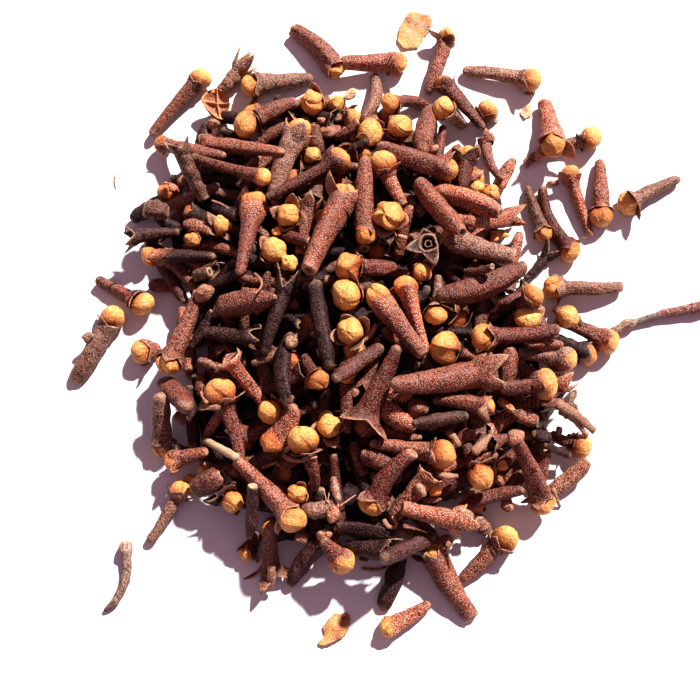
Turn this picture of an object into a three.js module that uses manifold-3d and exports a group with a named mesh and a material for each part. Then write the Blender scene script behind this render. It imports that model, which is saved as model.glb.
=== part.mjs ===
// A loose heap of whole cloves, the dried flower buds used as a spice, with the pieces that lie apart
// from it. Millimetres, +Z up. The origin is the middle of the heap's flat underside.
import * as THREE from 'three';
import { mergeVertices } from 'three/addons/utils/BufferGeometryUtils.js';
import Module from 'manifold-3d';

const wasm = await Module();
wasm.setup();

// One clove: a shaft that swells towards the calyx, a ring of sepals and a round bud. A shape holds the
// shaft's radii and heights as shares of its own, from the tail tip to the calyx rim.
const SHAFT_RADIUS = 1.75;
const BUD_RADIUS = 2.4;
const BUD_RISE = 1.5; // from the calyx rim to the middle of the bud
const BROKEN_END = 0.2; // how far a broken end stands out, over the shaft's radius
const SEPAL_LENGTH = 2.5;
const SEPAL_RADIUS = 0.75;
const SEPAL_LEAN = THREE.MathUtils.degToRad(52);
const SEPALS = 4;
const SHAFT_SHAPE = [[0, 0], [0.62, 0.05], [0.86, 0.3], [1.0, 0.62], [0.9, 0.86], [1.2, 1.0]];
const SIDES = 8;
const BUD_STEPS = 3;

// The heap: its height in the middle and at the rim, and how far it reaches every 22.5 degrees
// from +X towards +Y.
const HEAP_HEIGHT = 19;
const RIM_HEIGHT = 3.4;
const HEAP_REACH = [46, 37, 44, 52, 52, 58, 55, 49, 37, 42, 45, 48, 47, 46, 45, 48];
const FOOT_INSET = 5; // the mound's foot lies this far inside the reach, and the rim's cloves cover the rest
const MOUND_BEARINGS = 24;
const MOUND_RINGS = 4;
const HEAP_CLOVE_LENGTH = 14.5;
const HEAP_CLOVE_SHAPE = [[0, 0], [0.75, 0.07], [1.0, 0.6], [0.75, 1.0]];
const HEAP_CLOVE_SIDES = 6;
const HEAP_BUD_STEPS = 2;
const HEAP_RINGS = [
  { inset: 5, count: 20 },
  { inset: 13, count: 14 },
  { inset: 22, count: 10 },
  { inset: 32, count: 7 },
  { inset: 42, count: 2 },
];

const GAP = 0.35; // between a piece and its neighbour
const REST_FLAT = 0.12; // how much a round piece is flattened where it rests
const FLOOR_BLOCK = 400;

// The cloves that lie apart: the middle of the bud and the tip of the tail, [x, y, height of the axis].
// "girth" is the shaft's thickness over the usual, "bud" the bud's radius, or 0 where it has dropped off.
const LOOSE_CLOVES = [
  { name: 'clove_back_left', bud_at: [-32.5, 55.2, 2.5], tail_at: [-42.7, 43.2, 1.2], girth: 0.95, bud: 2.4 },
  { name: 'clove_back', bud_at: [19.6, 64.8, 2.4], tail_at: [15.1, 52.4, 1.4], girth: 1.0, bud: 1.9 },
  { name: 'clove_back_right', bud_at: [37.0, 54.8, 2.5], tail_at: [23.2, 57.5, 1.4], girth: 1.0, bud: 2.4 },
  { name: 'clove_right_leaning', bud_at: [40.4, 38.6, 6.0], tail_at: [39.8, 50.1, 1.1], girth: 1.1, bud: 2.4 },
  { name: 'clove_right_under', bud_at: [48.9, 41.6, 2.6], tail_at: [35.2, 36.6, 1.1], girth: 0.85, bud: 2.5 },
  { name: 'clove_right_slim', bud_at: [44.4, 33.9, 2.0], tail_at: [47.6, 20.4, 1.0], girth: 0.7, bud: 1.8 },
  { name: 'clove_right_short', bud_at: [38.4, 20.9, 1.9], tail_at: [35.3, 31.2, 1.5], girth: 0.8, bud: 1.8 },
  { name: 'clove_right_grey', bud_at: [43.6, 17.0, 2.3], tail_at: [38.8, 30.9, 1.2], girth: 0.85, bud: 2.2 },
  { name: 'clove_right_upright', bud_at: [50.2, 24.2, 2.4], tail_at: [50.6, 37.2, 1.4], girth: 0.95, bud: 2.2 },
  { name: 'clove_far_right', bud_at: [55.6, 27.1, 2.3], tail_at: [67.0, 33.1, 1.2], girth: 0.95, bud: 2.1 },
  { name: 'clove_right_dark', bud_at: [40.0, 9.2, 2.7], tail_at: [53.8, 9.2, 1.2], girth: 0.85, bud: 2.5 },
  { name: 'clove_right_edge', bud_at: [50.0, -1.9, 2.7], tail_at: [39.6, 1.9, 4.6], girth: 0.9, bud: 2.5 },
  { name: 'clove_left_upper', bud_at: [-42.2, 5.6, 2.9], tail_at: [-52.0, 11.0, 1.3], girth: 0.95, bud: 2.3 },
  { name: 'clove_left_lower', bud_at: [-48.2, 3.1, 2.4], tail_at: [-56.0, -9.2, 1.4], girth: 1.05, bud: 2.3 },
  { name: 'clove_front_left', bud_at: [-36.4, -30.9, 2.1], tail_at: [-41.8, -40.7, 1.1], girth: 0.85, bud: 1.8 },
  { name: 'clove_front_right', bud_at: [28.5, -40.6, 2.6], tail_at: [20.4, -48.4, 1.2], girth: 0.9, bud: 2.6 },
  { name: 'shaft_left', bud_at: [-40.6, 8.9, 1.5], tail_at: [-36.8, 10.9, 1.7], girth: 0.9, bud: 0 },
  { name: 'shaft_front', bud_at: [4.9, -57.6, 1.8], tail_at: [14.0, -52.7, 1.4], girth: 0.95, bud: 0 },
];

// Bare stalks: [x, y, height, radius] along each, from the thick end.
const STALKS = {
  twig: [[77.6, 6.3, 1.3, 1.2], [73.5, 6.6, 1.4, 1.35], [68.0, 5.6, 1.3, 1.0], [61.8, 4.0, 1.1, 0.7],
    [57.5, 3.2, 1.2, 1.15], [56.6, 3.0, 1.2, 1.15], [55.6, 2.1, 1.0, 0.75], [53.2, 1.4, 0.9, 0.6]],
  stalk: [[-43.6, -41.6, 1.1, 0.9], [-43.5, -43.2, 1.1, 1.1], [-43.1, -46.8, 0.9, 0.8], [-43.9, -50.6, 0.7, 0.6],
    [-46.5, -54.0, 0.5, 0.35]],
};
const STALK_SIDES = 6;

// Dry scraps of husk: the middle, the half sizes along and across, the bearing, and how far they arch up.
const FLAKES = [
  { name: 'flake_back', at: [12.9, 66.2], half: [3.6, 3.0], bearing: 74, arch: 1.7 },
  { name: 'flake_front', at: [-4.1, -57.2], half: [3.7, 2.2], bearing: 50, arch: 1.5 },
  { name: 'scrap_right', at: [35.7, 48.4], half: [1.5, 1.1], bearing: 80, arch: 0.8 },
  { name: 'scrap_back', at: [-1.1, 52.6], half: [1.6, 0.8], bearing: 40, arch: 0.8 },
];
const FLAKE_THICKNESS = 0.5;
const FLAKE_STEPS = 8;

const russet = new THREE.MeshStandardMaterial({ color: 0x6b3524, roughness: 0.75, metalness: 0 });
const heapBrown = new THREE.MeshStandardMaterial({ color: 0x55291d, roughness: 0.8, metalness: 0 });
const bark = new THREE.MeshStandardMaterial({ color: 0x7a5548, roughness: 0.85, metalness: 0 });
const straw = new THREE.MeshStandardMaterial({ color: 0xd9a860, roughness: 0.6, metalness: 0 });

const group = new THREE.Group();

// A repeatable run of numbers from 0 to 1.
let state = 20;
function random() {
  state = (state * 1664525 + 1013904223) % 4294967296;
  return state / 4294967296;
}

function between(low, high) {
  return low + (high - low) * random();
}

// Turns a closed geometry into a solid, and a solid back into a geometry.
function solidOf(geometry) {
  const bare = geometry.clone();
  bare.deleteAttribute('normal');
  bare.deleteAttribute('uv');
  const merged = mergeVertices(bare, 1e-4);
  return new wasm.Manifold(new wasm.Mesh({
    numProp: 3,
    vertProperties: new Float32Array(merged.attributes.position.array),
    triVerts: new Uint32Array(merged.index.array),
  }));
}

function geometryOf(solid) {
  const mesh = solid.getMesh();
  const geometry = new THREE.BufferGeometry();
  geometry.setAttribute('position', new THREE.BufferAttribute(mesh.vertProperties, mesh.numProp));
  geometry.setIndex(new THREE.BufferAttribute(mesh.triVerts, 1));
  return geometry;
}

function addPiece(name, solid, material) {
  const mesh = new THREE.Mesh(geometryOf(solid), material);
  mesh.name = name;
  group.add(mesh);
}

// Takes away what lies under the surface that everything rests on.
const floorBlock = solidOf(
  new THREE.BoxGeometry(FLOOR_BLOCK, FLOOR_BLOCK, FLOOR_BLOCK).translate(0, 0, -FLOOR_BLOCK / 2));

function onFloor(solid) {
  return solid.subtract(floorBlock);
}

// The clove's outline, from the tail tip at 0 up the axis. "steps" is how many facets the bud has from
// its rim to its top. A shaft that has lost its bud is broken off below the calyx rim.
function cloveProfile(length, radius, bud, shape, steps) {
  const neck = bud > 0 ? length - BUD_RISE : length / shape.at(-2)[1];
  const points = bud > 0 ? shape : shape.slice(0, -1);
  const outline = points.map(([r, h]) => new THREE.Vector2(r * radius, h * neck));
  if (bud === 0) {
    outline.push(new THREE.Vector2(0, length + radius * BROKEN_END));
    return outline;
  }
  for (let step = 0; step < steps; step += 1) {
    const turn = THREE.MathUtils.degToRad(THREE.MathUtils.lerp(-20, 90, step / steps));
    outline.push(new THREE.Vector2(bud * Math.cos(turn), length + bud * Math.sin(turn)));
  }
  outline.push(new THREE.Vector2(0, length + bud));
  return outline;
}

// A lathe turned about +Y is laid along +Z, so that the clove's tail is at the origin.
function lathe(outline, sides) {
  return new THREE.LatheGeometry(outline, sides).rotateX(Math.PI / 2);
}

// The pointed lobes round the calyx rim.
function sepals(length, radius, grow) {
  const rim = length - BUD_RISE;
  const lobes = [];
  for (let lobe = 0; lobe < SEPALS; lobe += 1) {
    const cone = new THREE.ConeGeometry(SEPAL_RADIUS + 1.5 * grow, SEPAL_LENGTH + 3 * grow, 3);
    cone.translate(0, SEPAL_LENGTH * 0.3, 0);
    cone.rotateX(Math.PI / 2);
    cone.rotateY(SEPAL_LEAN);
    cone.translate(radius, 0, rim - 0.4);
    cone.rotateZ((lobe + 0.5) * (2 * Math.PI / SEPALS));
    lobes.push(solidOf(cone));
  }
  return lobes;
}

// Turns +Z to point from one end to the other, and moves the origin to the first.
function along(from, to) {
  const start = new THREE.Vector3(...from);
  const direction = new THREE.Vector3(...to).sub(start);
  const turn = new THREE.Quaternion().setFromUnitVectors(
    new THREE.Vector3(0, 0, 1), direction.clone().normalize());
  const matrix = new THREE.Matrix4().compose(start, turn, new THREE.Vector3(1, 1, 1));
  return { matrix, length: direction.length() };
}

// A clove that lies apart. "grow" thickens it on every side, to cut its neighbours clear of it.
function looseClove(clove, grow = 0) {
  const { matrix, length: bare } = along(clove.tail_at, clove.bud_at);
  const length = bare + grow;
  matrix.multiply(new THREE.Matrix4().makeTranslation(0, 0, -grow));
  const radius = SHAFT_RADIUS * clove.girth + grow;
  const bud = clove.bud > 0 ? clove.bud + grow : 0;
  const outline = cloveProfile(length, radius, bud, SHAFT_SHAPE, BUD_STEPS);
  let solid = solidOf(lathe(outline, SIDES).applyMatrix4(matrix));
  if (bud > 0) {
    for (const lobe of sepals(length, radius, grow)) {
      solid = solid.add(lobe.transform(matrix.toArray()));
    }
  }
  return onFloor(solid.translate([0, 0, -REST_FLAT]));
}

// A bare stalk: one ring of corners at each named point, square to the way that it runs.
function stalk(points, grow = 0) {
  const middles = points.map(([x, y, z]) => new THREE.Vector3(x, y, z));
  const corners = [];
  const faces = [];
  points.forEach(([, , , radius], index) => {
    const before = middles[Math.max(index - 1, 0)];
    const after = middles[Math.min(index + 1, middles.length - 1)];
    const forward = after.clone().sub(before).normalize();
    const side = new THREE.Vector3(0, 0, 1).cross(forward).normalize();
    const up = forward.clone().cross(side);
    for (let corner = 0; corner < STALK_SIDES; corner += 1) {
      const angle = corner / STALK_SIDES * 2 * Math.PI;
      const at = middles[index].clone();
      at.addScaledVector(side, (radius + grow) * Math.cos(angle));
      at.addScaledVector(up, (radius + grow) * Math.sin(angle));
      corners.push(...at.toArray());
    }
  });
  const last = (points.length - 1) * STALK_SIDES;
  for (let ring = 0; ring < last; ring += STALK_SIDES) {
    for (let corner = 0; corner < STALK_SIDES; corner += 1) {
      const next = (corner + 1) % STALK_SIDES;
      faces.push(ring + corner, ring + next, ring + STALK_SIDES + corner);
      faces.push(ring + next, ring + STALK_SIDES + next, ring + STALK_SIDES + corner);
    }
  }
  for (let corner = 1; corner < STALK_SIDES - 1; corner += 1) {
    faces.push(0, corner + 1, corner);
    faces.push(last, last + corner, last + corner + 1);
  }
  return onFloor(solidFrom(corners, faces).translate([0, 0, -REST_FLAT]));
}

function solidFrom(corners, faces) {
  return new wasm.Manifold(new wasm.Mesh({
    numProp: 3,
    vertProperties: new Float32Array(corners),
    triVerts: new Uint32Array(faces),
  }));
}

// A scrap of husk, arched along its length, with a ragged oval outline.
function flake(scrap, grow = 0) {
  const [halfLength, halfWidth] = scrap.half;
  const turn = THREE.MathUtils.degToRad(scrap.bearing);
  const corners = [];
  const faces = [];
  const layers = [0, FLAKE_THICKNESS + grow];
  for (const lift of layers) {
    for (let step = 0; step < FLAKE_STEPS; step += 1) {
      const angle = step / FLAKE_STEPS * 2 * Math.PI;
      const ragged = step % 2 === 0 ? 1 : 0.86;
      const u = (halfLength + grow) * ragged * Math.cos(angle);
      const v = (halfWidth + grow) * ragged * Math.sin(angle);
      const height = scrap.arch * (1 - (u / (halfLength + grow)) ** 2);
      corners.push(
        scrap.at[0] + u * Math.cos(turn) - v * Math.sin(turn),
        scrap.at[1] + u * Math.sin(turn) + v * Math.cos(turn),
        height * 0.35 + lift - grow);
    }
    corners.push(scrap.at[0], scrap.at[1], scrap.arch + lift - grow);
  }
  const top = FLAKE_STEPS + 1;
  for (let step = 0; step < FLAKE_STEPS; step += 1) {
    const next = (step + 1) % FLAKE_STEPS;
    faces.push(FLAKE_STEPS, next, step);
    faces.push(top + FLAKE_STEPS, top + step, top + next);
    faces.push(step, next, top + next);
    faces.push(step, top + next, top + step);
  }
  return onFloor(solidFrom(corners, faces).translate([0, 0, -REST_FLAT]));
}

// How far the heap reaches at a bearing, on a smooth closed line through the named reaches.
function reach(bearing) {
  const count = HEAP_REACH.length;
  const place = ((bearing / (2 * Math.PI)) % 1 + 1) % 1 * count;
  const index = Math.floor(place);
  const part = place - index;
  const [a, b, c, d] = [-1, 0, 1, 2].map((step) => HEAP_REACH[(index + step + count) % count]);
  const slopes = [(c - a) / 2, (d - b) / 2];
  const square = part * part;
  const cube = square * part;
  return (2 * cube - 3 * square + 1) * b + (cube - 2 * square + part) * slopes[0]
    + (-2 * cube + 3 * square) * c + (cube - square) * slopes[1];
}

// The height of the mound's surface at a share of the way out to its foot.
function moundHeight(share) {
  return RIM_HEIGHT * 0.6 + (HEAP_HEIGHT - RIM_HEIGHT) * (1 - share ** 1.9);
}

// The mound under the cloves: rings of corners out from the middle, closed by a flat underside.
function mound() {
  const corners = [0, 0, 0, 0, 0, moundHeight(0)];
  const faces = [];
  const ringStart = (ring) => 2 + ring * MOUND_BEARINGS;
  for (let ring = 0; ring <= MOUND_RINGS; ring += 1) {
    const share = ring < MOUND_RINGS ? (ring + 1) / MOUND_RINGS : 1;
    for (let step = 0; step < MOUND_BEARINGS; step += 1) {
      const bearing = step / MOUND_BEARINGS * 2 * Math.PI;
      const out = share * (reach(bearing) - FOOT_INSET);
      const height = ring < MOUND_RINGS ? moundHeight(share) + between(-0.5, 0.5) : 0;
      corners.push(out * Math.cos(bearing), out * Math.sin(bearing), height);
    }
  }
  for (let step = 0; step < MOUND_BEARINGS; step += 1) {
    const next = (step + 1) % MOUND_BEARINGS;
    faces.push(1, ringStart(0) + step, ringStart(0) + next);
    for (let ring = 0; ring < MOUND_RINGS; ring += 1) {
      const [near, far] = [ringStart(ring), ringStart(ring + 1)];
      faces.push(near + step, far + step, far + next);
      faces.push(near + step, far + next, near + next);
    }
    faces.push(0, ringStart(MOUND_RINGS) + next, ringStart(MOUND_RINGS) + step);
  }
  return solidFrom(corners, faces);
}

// A clove of the heap's surface, at a bearing and a distance in from the edge, lying any way round.
function heapClove(bearing, ring) {
  const out = Math.max(reach(bearing) - ring.inset + between(-1.5, 1.5), 4);
  const share = Math.min(out / (reach(bearing) - FOOT_INSET), 1);
  const radius = SHAFT_RADIUS * between(0.85, 1.1);
  const bud = BUD_RADIUS * between(0.85, 1.05);
  const height = moundHeight(share) + radius * 0.25;
  const heading = between(0, 2 * Math.PI);
  const slope = Math.sin(heading - bearing) * 0.12 + between(-0.15, 0.15);
  const half = (HEAP_CLOVE_LENGTH - bud) / 2 * between(0.85, 1.05);
  const middle = [out * Math.cos(bearing), out * Math.sin(bearing), Math.max(height, radius)];
  const step = [half * Math.cos(heading), half * Math.sin(heading), half * slope];
  const tail = middle.map((value, axis) => value - step[axis]);
  const head = middle.map((value, axis) => value + step[axis]);
  const { matrix, length } = along(tail, head);
  const outline = cloveProfile(length, radius, bud, HEAP_CLOVE_SHAPE, HEAP_BUD_STEPS);
  return solidOf(lathe(outline, HEAP_CLOVE_SIDES).applyMatrix4(matrix));
}

function heap() {
  let solid = mound();
  for (const ring of HEAP_RINGS) {
    for (let index = 0; index < ring.count; index += 1) {
      const bearing = (index + between(-0.3, 0.3)) / ring.count * 2 * Math.PI;
      solid = solid.add(heapClove(bearing, ring));
    }
  }
  return onFloor(solid);
}

// The loose pieces first, so that the heap can be cut clear of them.
const clearances = [];
for (const clove of LOOSE_CLOVES) {
  addPiece(clove.name, looseClove(clove), russet);
  clearances.push(looseClove(clove, GAP));
}
for (const [name, points] of Object.entries(STALKS)) {
  addPiece(name, stalk(points), bark);
  clearances.push(stalk(points, GAP));
}
for (const scrap of FLAKES) {
  addPiece(scrap.name, flake(scrap), straw);
  clearances.push(flake(scrap, GAP));
}

// The largest body of a cut solid: a splinter that a cut leaves behind is dropped.
function largest(solid) {
  return solid.decompose().reduce((best, body) => (body.volume() > best.volume() ? body : best));
}

let heapSolid = heap();
for (const clearance of clearances) {
  heapSolid = heapSolid.subtract(clearance);
}
addPiece('clove_heap', largest(heapSolid), heapBrown);

export default group;
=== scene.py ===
"""A loose heap of whole cloves on a pale table, with single cloves, stalks and husk lying round it.

Lengths are millimetres until a mesh is made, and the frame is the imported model's: +Z up, the origin
in the middle of the heap's flat underside.
"""
import logging
import math
from dataclasses import dataclass, field
from enum import Enum
from functools import partial
from typing import Any, Callable

import bpy
import numpy as np
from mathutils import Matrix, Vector
from mathutils.bvhtree import BVHTree
from numpy.typing import NDArray


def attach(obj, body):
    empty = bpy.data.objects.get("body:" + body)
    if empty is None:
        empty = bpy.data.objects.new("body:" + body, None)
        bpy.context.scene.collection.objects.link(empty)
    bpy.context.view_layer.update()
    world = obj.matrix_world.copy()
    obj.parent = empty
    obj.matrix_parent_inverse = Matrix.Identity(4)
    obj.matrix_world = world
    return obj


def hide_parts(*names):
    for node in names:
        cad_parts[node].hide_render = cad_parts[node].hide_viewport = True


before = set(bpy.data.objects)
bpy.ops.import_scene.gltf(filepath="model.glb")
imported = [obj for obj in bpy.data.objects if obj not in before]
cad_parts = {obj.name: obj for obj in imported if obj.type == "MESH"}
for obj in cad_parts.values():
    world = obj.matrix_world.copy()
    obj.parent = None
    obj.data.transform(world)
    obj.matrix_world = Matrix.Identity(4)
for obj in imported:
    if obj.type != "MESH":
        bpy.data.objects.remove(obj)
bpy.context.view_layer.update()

Floats = NDArray[np.float64]
Faces = NDArray[np.int64]
Pixel = tuple[float, float]
Surface = tuple[Floats, Faces, Faces]  # points, quads and triangles
log = logging.getLogger("heap")

MM = 0.001
FRAME_PIXELS = 700
PIXELS_PER_MM = 5.0  # on the table, in the middle of the frame
TABLE_GAP = 0.02  # how far over the table the lowest corner may be
TABLE_PRESS = 0.3  # what comes nearer to the table than this is pressed together, never through
BALANCE = 0.55  # where a clove's weight acts, as a share of the way from its tail to its head
SETTLING_ROUNDS = 4  # how often a piece's place and its height are brought into line

# Where the seeds of each kind of piece start.
CORE_SEED, FILL_SEED, SEEN_SEED, STRAND_SEED, STRAW_SEED = 5, 11, 100, 700, 790
LOOSE_SEED, INNER_SEED = 900, 2000


# Named choices


class Tone(Enum):
    """The skin colours of dried cloves, from oily fresh-looking ones to old grey ones."""

    RUSSET = "#A36347"
    BRIGHT = "#CE835A"
    ORANGE = "#BB6D3F"
    RED = "#864230"
    GREY = "#A88C82"
    DARK = "#47262B"
    TAN = "#C39073"


class Top(Enum):
    """What a clove ends in at its thick end."""

    BUD = "the round bud still sits between the sepals"
    OPEN = "the bud has dropped off and the calyx is hollow"
    WORN = "the calyx has broken away and a rounded stump is left"


class Part(Enum):
    """The parts that cloves are gathered by: the end of the piece's name, and its material slot."""

    SHAFT = ("shafts", "clove")
    SEPALS = ("sepals", "clove")
    BUD = ("buds", "bud")

    def piece(self, start: str) -> "Piece":
        """Starts the piece that takes up this part of every clove."""
        return Piece(f"{start}_{self.value[0]}", self.value[1])


class Kind(Enum):
    """The kinds of shader node: type, settings, inputs in the order they are given, output."""

    GRAIN = ("ShaderNodeAttribute", {"attribute_name": "grain"}, (), "Vector")
    TINT = ("ShaderNodeAttribute", {"attribute_name": "tint"}, (), "Color")
    WORN = ("ShaderNodeAttribute", {"attribute_name": "worn"}, (), "Fac")
    PLACE = ("ShaderNodeTexCoord", {}, (), "Object")
    PEBBLES = ("ShaderNodeTexVoronoi", {}, ("Vector", "Scale", "Randomness"), "Distance")
    NOISE = ("ShaderNodeTexNoise", {}, ("Vector", "Scale", "Detail", "Roughness", "Distortion"),
             "Fac")
    STRETCH = ("ShaderNodeVectorMath", {"operation": "MULTIPLY"}, (0, 1), 0)
    SCALE = ("ShaderNodeVectorMath", {"operation": "SCALE"}, (0, 3), 0)
    RAMP = ("ShaderNodeMapRange", {"interpolation_type": "SMOOTHSTEP"},
            ("Value", "From Min", "From Max", "To Min", "To Max"), "Result")
    PRODUCT = ("ShaderNodeMath", {"operation": "MULTIPLY"}, (0, 1), 0)
    PRODUCT_SUM = ("ShaderNodeMath", {"operation": "MULTIPLY_ADD"}, (0, 1, 2), 0)
    RED_SHARE = ("ShaderNodeSeparateColor", {}, (0,), "Red")
    COLOUR = ("ShaderNodeCombineXYZ", {}, (0, 1, 2), 0)
    BLEND = ("ShaderNodeMix", {"data_type": "RGBA"}, (0, 6, 7), 2)
    DYE = ("ShaderNodeMix", {"data_type": "RGBA", "blend_type": "MULTIPLY"}, (0, 6, 7), 2)
    BUMP = ("ShaderNodeBump", {}, ("Height", "Strength", "Distance"), 0)
    SURFACE = ("ShaderNodeBsdfPrincipled", {},
               ("Base Color", "Roughness", "Specular IOR Level", "IOR", "Transmission Weight", "Normal"), 0)
    OUTPUT = ("ShaderNodeOutputMaterial", {}, ("Surface",), None)
    SEEN_DIRECTLY = ("ShaderNodeLightPath", {}, (), "Is Camera Ray")
    GLOW = ("ShaderNodeBackground", {}, ("Color", "Strength"), 0)
    EITHER = ("ShaderNodeMixShader", {}, (0, 1, 2), 0)
    WORLD = ("ShaderNodeOutputWorld", {}, ("Surface",), None)


# Colours and nodes


def linear(colour: str) -> Floats:
    """Turns an sRGB hex colour into linear RGBA.

    Args:
        colour: The colour as "#RRGGBB".

    Returns:
        The linear colour with an alpha of 1.
    """
    parts = [int(colour[start:start + 2], 16) / 255 for start in (1, 3, 5)]
    return np.array([c / 12.92 if c <= 0.04045 else ((c + 0.055) / 1.055) ** 2.4 for c in parts] + [1.0])


def add_node(tree: bpy.types.NodeTree, kind: Kind, *values: Any) -> bpy.types.NodeSocket | None:
    """Adds a node, sets it up and links it.

    Args:
        tree: The node tree to add to.
        kind: The kind of node.
        *values: A value or an output socket for each of its inputs, in the kind's order.

    Returns:
        The node's output, unless it is the tree's last node.
    """
    node_type, settings, inputs, output = kind.value
    made = tree.nodes.new(node_type)
    for name, value in settings.items():
        setattr(made, name, value)
    for name, value in zip(inputs, values):
        if isinstance(value, bpy.types.NodeSocket):
            tree.links.new(value, made.inputs[name])
        else:
            made.inputs[name].default_value = value
    return None if output is None else made.outputs[output]


def adder(holder: bpy.types.Material | bpy.types.World) -> Callable[..., Any]:
    """Empties the node tree of a material or of the world.

    Args:
        holder: The material or the world.

    Returns:
        add_node for that tree.
    """
    holder.use_nodes = True
    holder.node_tree.nodes.clear()
    return partial(add_node, holder.node_tree)


# Finishes


@dataclass(frozen=True)
class CloveSkin:
    """The dried skin of shaft, calyx and sepals: oily brown, pebbled all over by oil glands, with painted
    glints on their tops.
    """

    name: str = "dried_clove_skin"
    # The tops of the glands: painted glints with a pale wax film, times the clove's own red and gleam; glint
    # is the painted glint that shows even on a black clove, and own how much of the clove's colour shows
    # through the painted glints.
    glint_and_wax: str = "#F0D8C8"  # the waxy tops of the glands, times the clove's own red
    gleam: float = 1.14
    glint: float = 0.038  # what wax adds even on a black clove
    own: float = 0.3  # how much of the clove's own colour the wax lets through
    valley: str = "#BA8A68"  # a multiplier: the skin between the glands is redder and deeper
    crease_tint: str = "#9A6A62"  # a multiplier too
    pale: str = "#D8AC88"
    pebble_mm: float = 0.3  # the oil glands, drawn coarser than they are so that they show
    speck_mm: float = 0.24
    blotch_mm: float = 1.7
    wrinkle_mm: float = 0.8
    roughness: float = 0.42
    relief_mm: float = 0.1

    def material(self) -> bpy.types.Material:
        """Makes the material, tinted clove by clove through the mesh's own tint.

        Returns:
            The material.
        """
        made = bpy.data.materials.new(self.name)
        node = adder(made)
        grain, tint, worn = (node(kind) for kind in (Kind.GRAIN, Kind.TINT, Kind.WORN))
        pebbles = node(Kind.PEBBLES, grain, 1 / self.pebble_mm, 0.95)
        specks = node(Kind.NOISE, grain, 1 / self.speck_mm, 1.0, 0.6)
        blotches = node(Kind.NOISE, grain, 1 / self.blotch_mm, 2.0)
        squeezed = node(Kind.STRETCH, grain, (0.75, 0.75, 1.7))
        wrinkles = node(Kind.NOISE, squeezed, 1 / self.wrinkle_mm, 2.0, 0.5, 0.4)
        # The blotches make one side of a clove darker and redder than the other.
        shade = node(Kind.COLOUR, *(node(Kind.RAMP, blotches, 0.3, 0.7, low, high)
                                    for low, high in ((0.72, 1.22), (0.64, 1.24), (0.6, 1.26))))
        base = node(Kind.DYE, 1.0, tint, shade)
        # The skin is darker along the low creases of the wrinkles.
        creased = node(Kind.RAMP, wrinkles, 0.34, 0.5, 0.9, 0.0)
        base = node(Kind.DYE, creased, base, linear(self.crease_tint))
        # Painted glints with a pale wax film on the tops of the glands; between them the skin is redder and
        # darker.
        domes = node(Kind.RAMP, pebbles, 0.36, 0.58, 0.9, 0.0)
        glint_share = node(Kind.PRODUCT, domes, node(Kind.RAMP, specks, 0.38, 0.6, 0.25, 1.0))
        bright = node(Kind.PRODUCT_SUM, node(Kind.RED_SHARE, tint), self.gleam, self.glint)
        paler = node(Kind.SCALE, linear(self.glint_and_wax)[:3], bright)
        paler = node(Kind.BLEND, self.own, paler, tint)
        deeper = node(Kind.DYE, 1.0, base, linear(self.valley))
        base = node(Kind.BLEND, glint_share, deeper, paler)
        ragged = node(Kind.PRODUCT, worn, node(Kind.RAMP, specks, 0.35, 0.6, 0.35, 1.0))
        base = node(Kind.BLEND, ragged, base, linear(self.pale))
        height = node(Kind.PRODUCT_SUM, wrinkles, 2.0, node(Kind.RAMP, pebbles, 0.0, 0.6, 1.0, 0.0))
        bump = node(Kind.BUMP, height, 1.0, self.relief_mm * MM)
        gloss = node(Kind.RAMP, specks, 0.35, 0.65, self.roughness + 0.2, self.roughness)
        node(Kind.OUTPUT, node(Kind.SURFACE, base, gloss, 0.25, 1.46, 0.0, bump))
        return made


@dataclass(frozen=True)
class BudPetal:
    """The unopened petals folded into a ball: papery, golden tan, mottled, with a soft sheen."""

    name: str = "dry_bud_petals"
    body: str = "#E6A44C"
    mottle: str = "#BC5F28"
    # The pale colour of the granule tops: a pale film on the petals, and a painted highlight.
    bloom_and_highlight: str = "#F0CC94"
    seam: str = "#7E3416"
    mottle_mm: float = 0.62
    grain_mm: float = 0.26
    broad_per_mm: float = 0.42
    roughness: float = 0.36
    relief_mm: float = 0.24

    def material(self) -> bpy.types.Material:
        """Makes the material; the seams between the petals come from the mesh.

        Returns:
            The material.
        """
        made = bpy.data.materials.new(self.name)
        node = adder(made)
        grain, tint, seams = (node(kind) for kind in (Kind.GRAIN, Kind.TINT, Kind.WORN))
        mottles = node(Kind.NOISE, grain, 1 / self.mottle_mm, 3.0, 0.6)
        drawn = node(Kind.STRETCH, grain, (1.3, 1.3, 0.8))
        granules = node(Kind.NOISE, drawn, 1 / self.grain_mm, 2.0, 0.65)
        broad = node(Kind.NOISE, grain, self.broad_per_mm, 1.0)
        base = linear(self.body)
        # The granule tops take the pale colour, partly a painted highlight.
        for pattern, low, high, bottom, top, colour in (
                (mottles, 0.46, 0.7, 0.0, 0.75, self.mottle), (broad, 0.55, 0.75, 0.0, 0.5, self.mottle),
                (granules, 0.47, 0.64, 0.0, 0.7, self.bloom_and_highlight), (granules, 0.34, 0.45, 0.7, 0.0, self.mottle)):
            share = node(Kind.RAMP, pattern, low, high, bottom, top)
            base = node(Kind.BLEND, share, base, linear(colour))
        base = node(Kind.DYE, 1.0, base, tint)
        seamed = node(Kind.RAMP, seams, 0.1, 0.95, 0.0, 0.7)
        base = node(Kind.BLEND, seamed, base, linear(self.seam))
        height = node(Kind.PRODUCT_SUM, mottles, 1.6, granules)
        bump = node(Kind.BUMP, height, 0.9, self.relief_mm * MM)
        sheen = node(Kind.RAMP, mottles, 0.3, 0.7, self.roughness, self.roughness + 0.16)
        node(Kind.OUTPUT, node(Kind.SURFACE, base, sheen, 0.5, 1.45, 0.0, bump))
        return made


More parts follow.
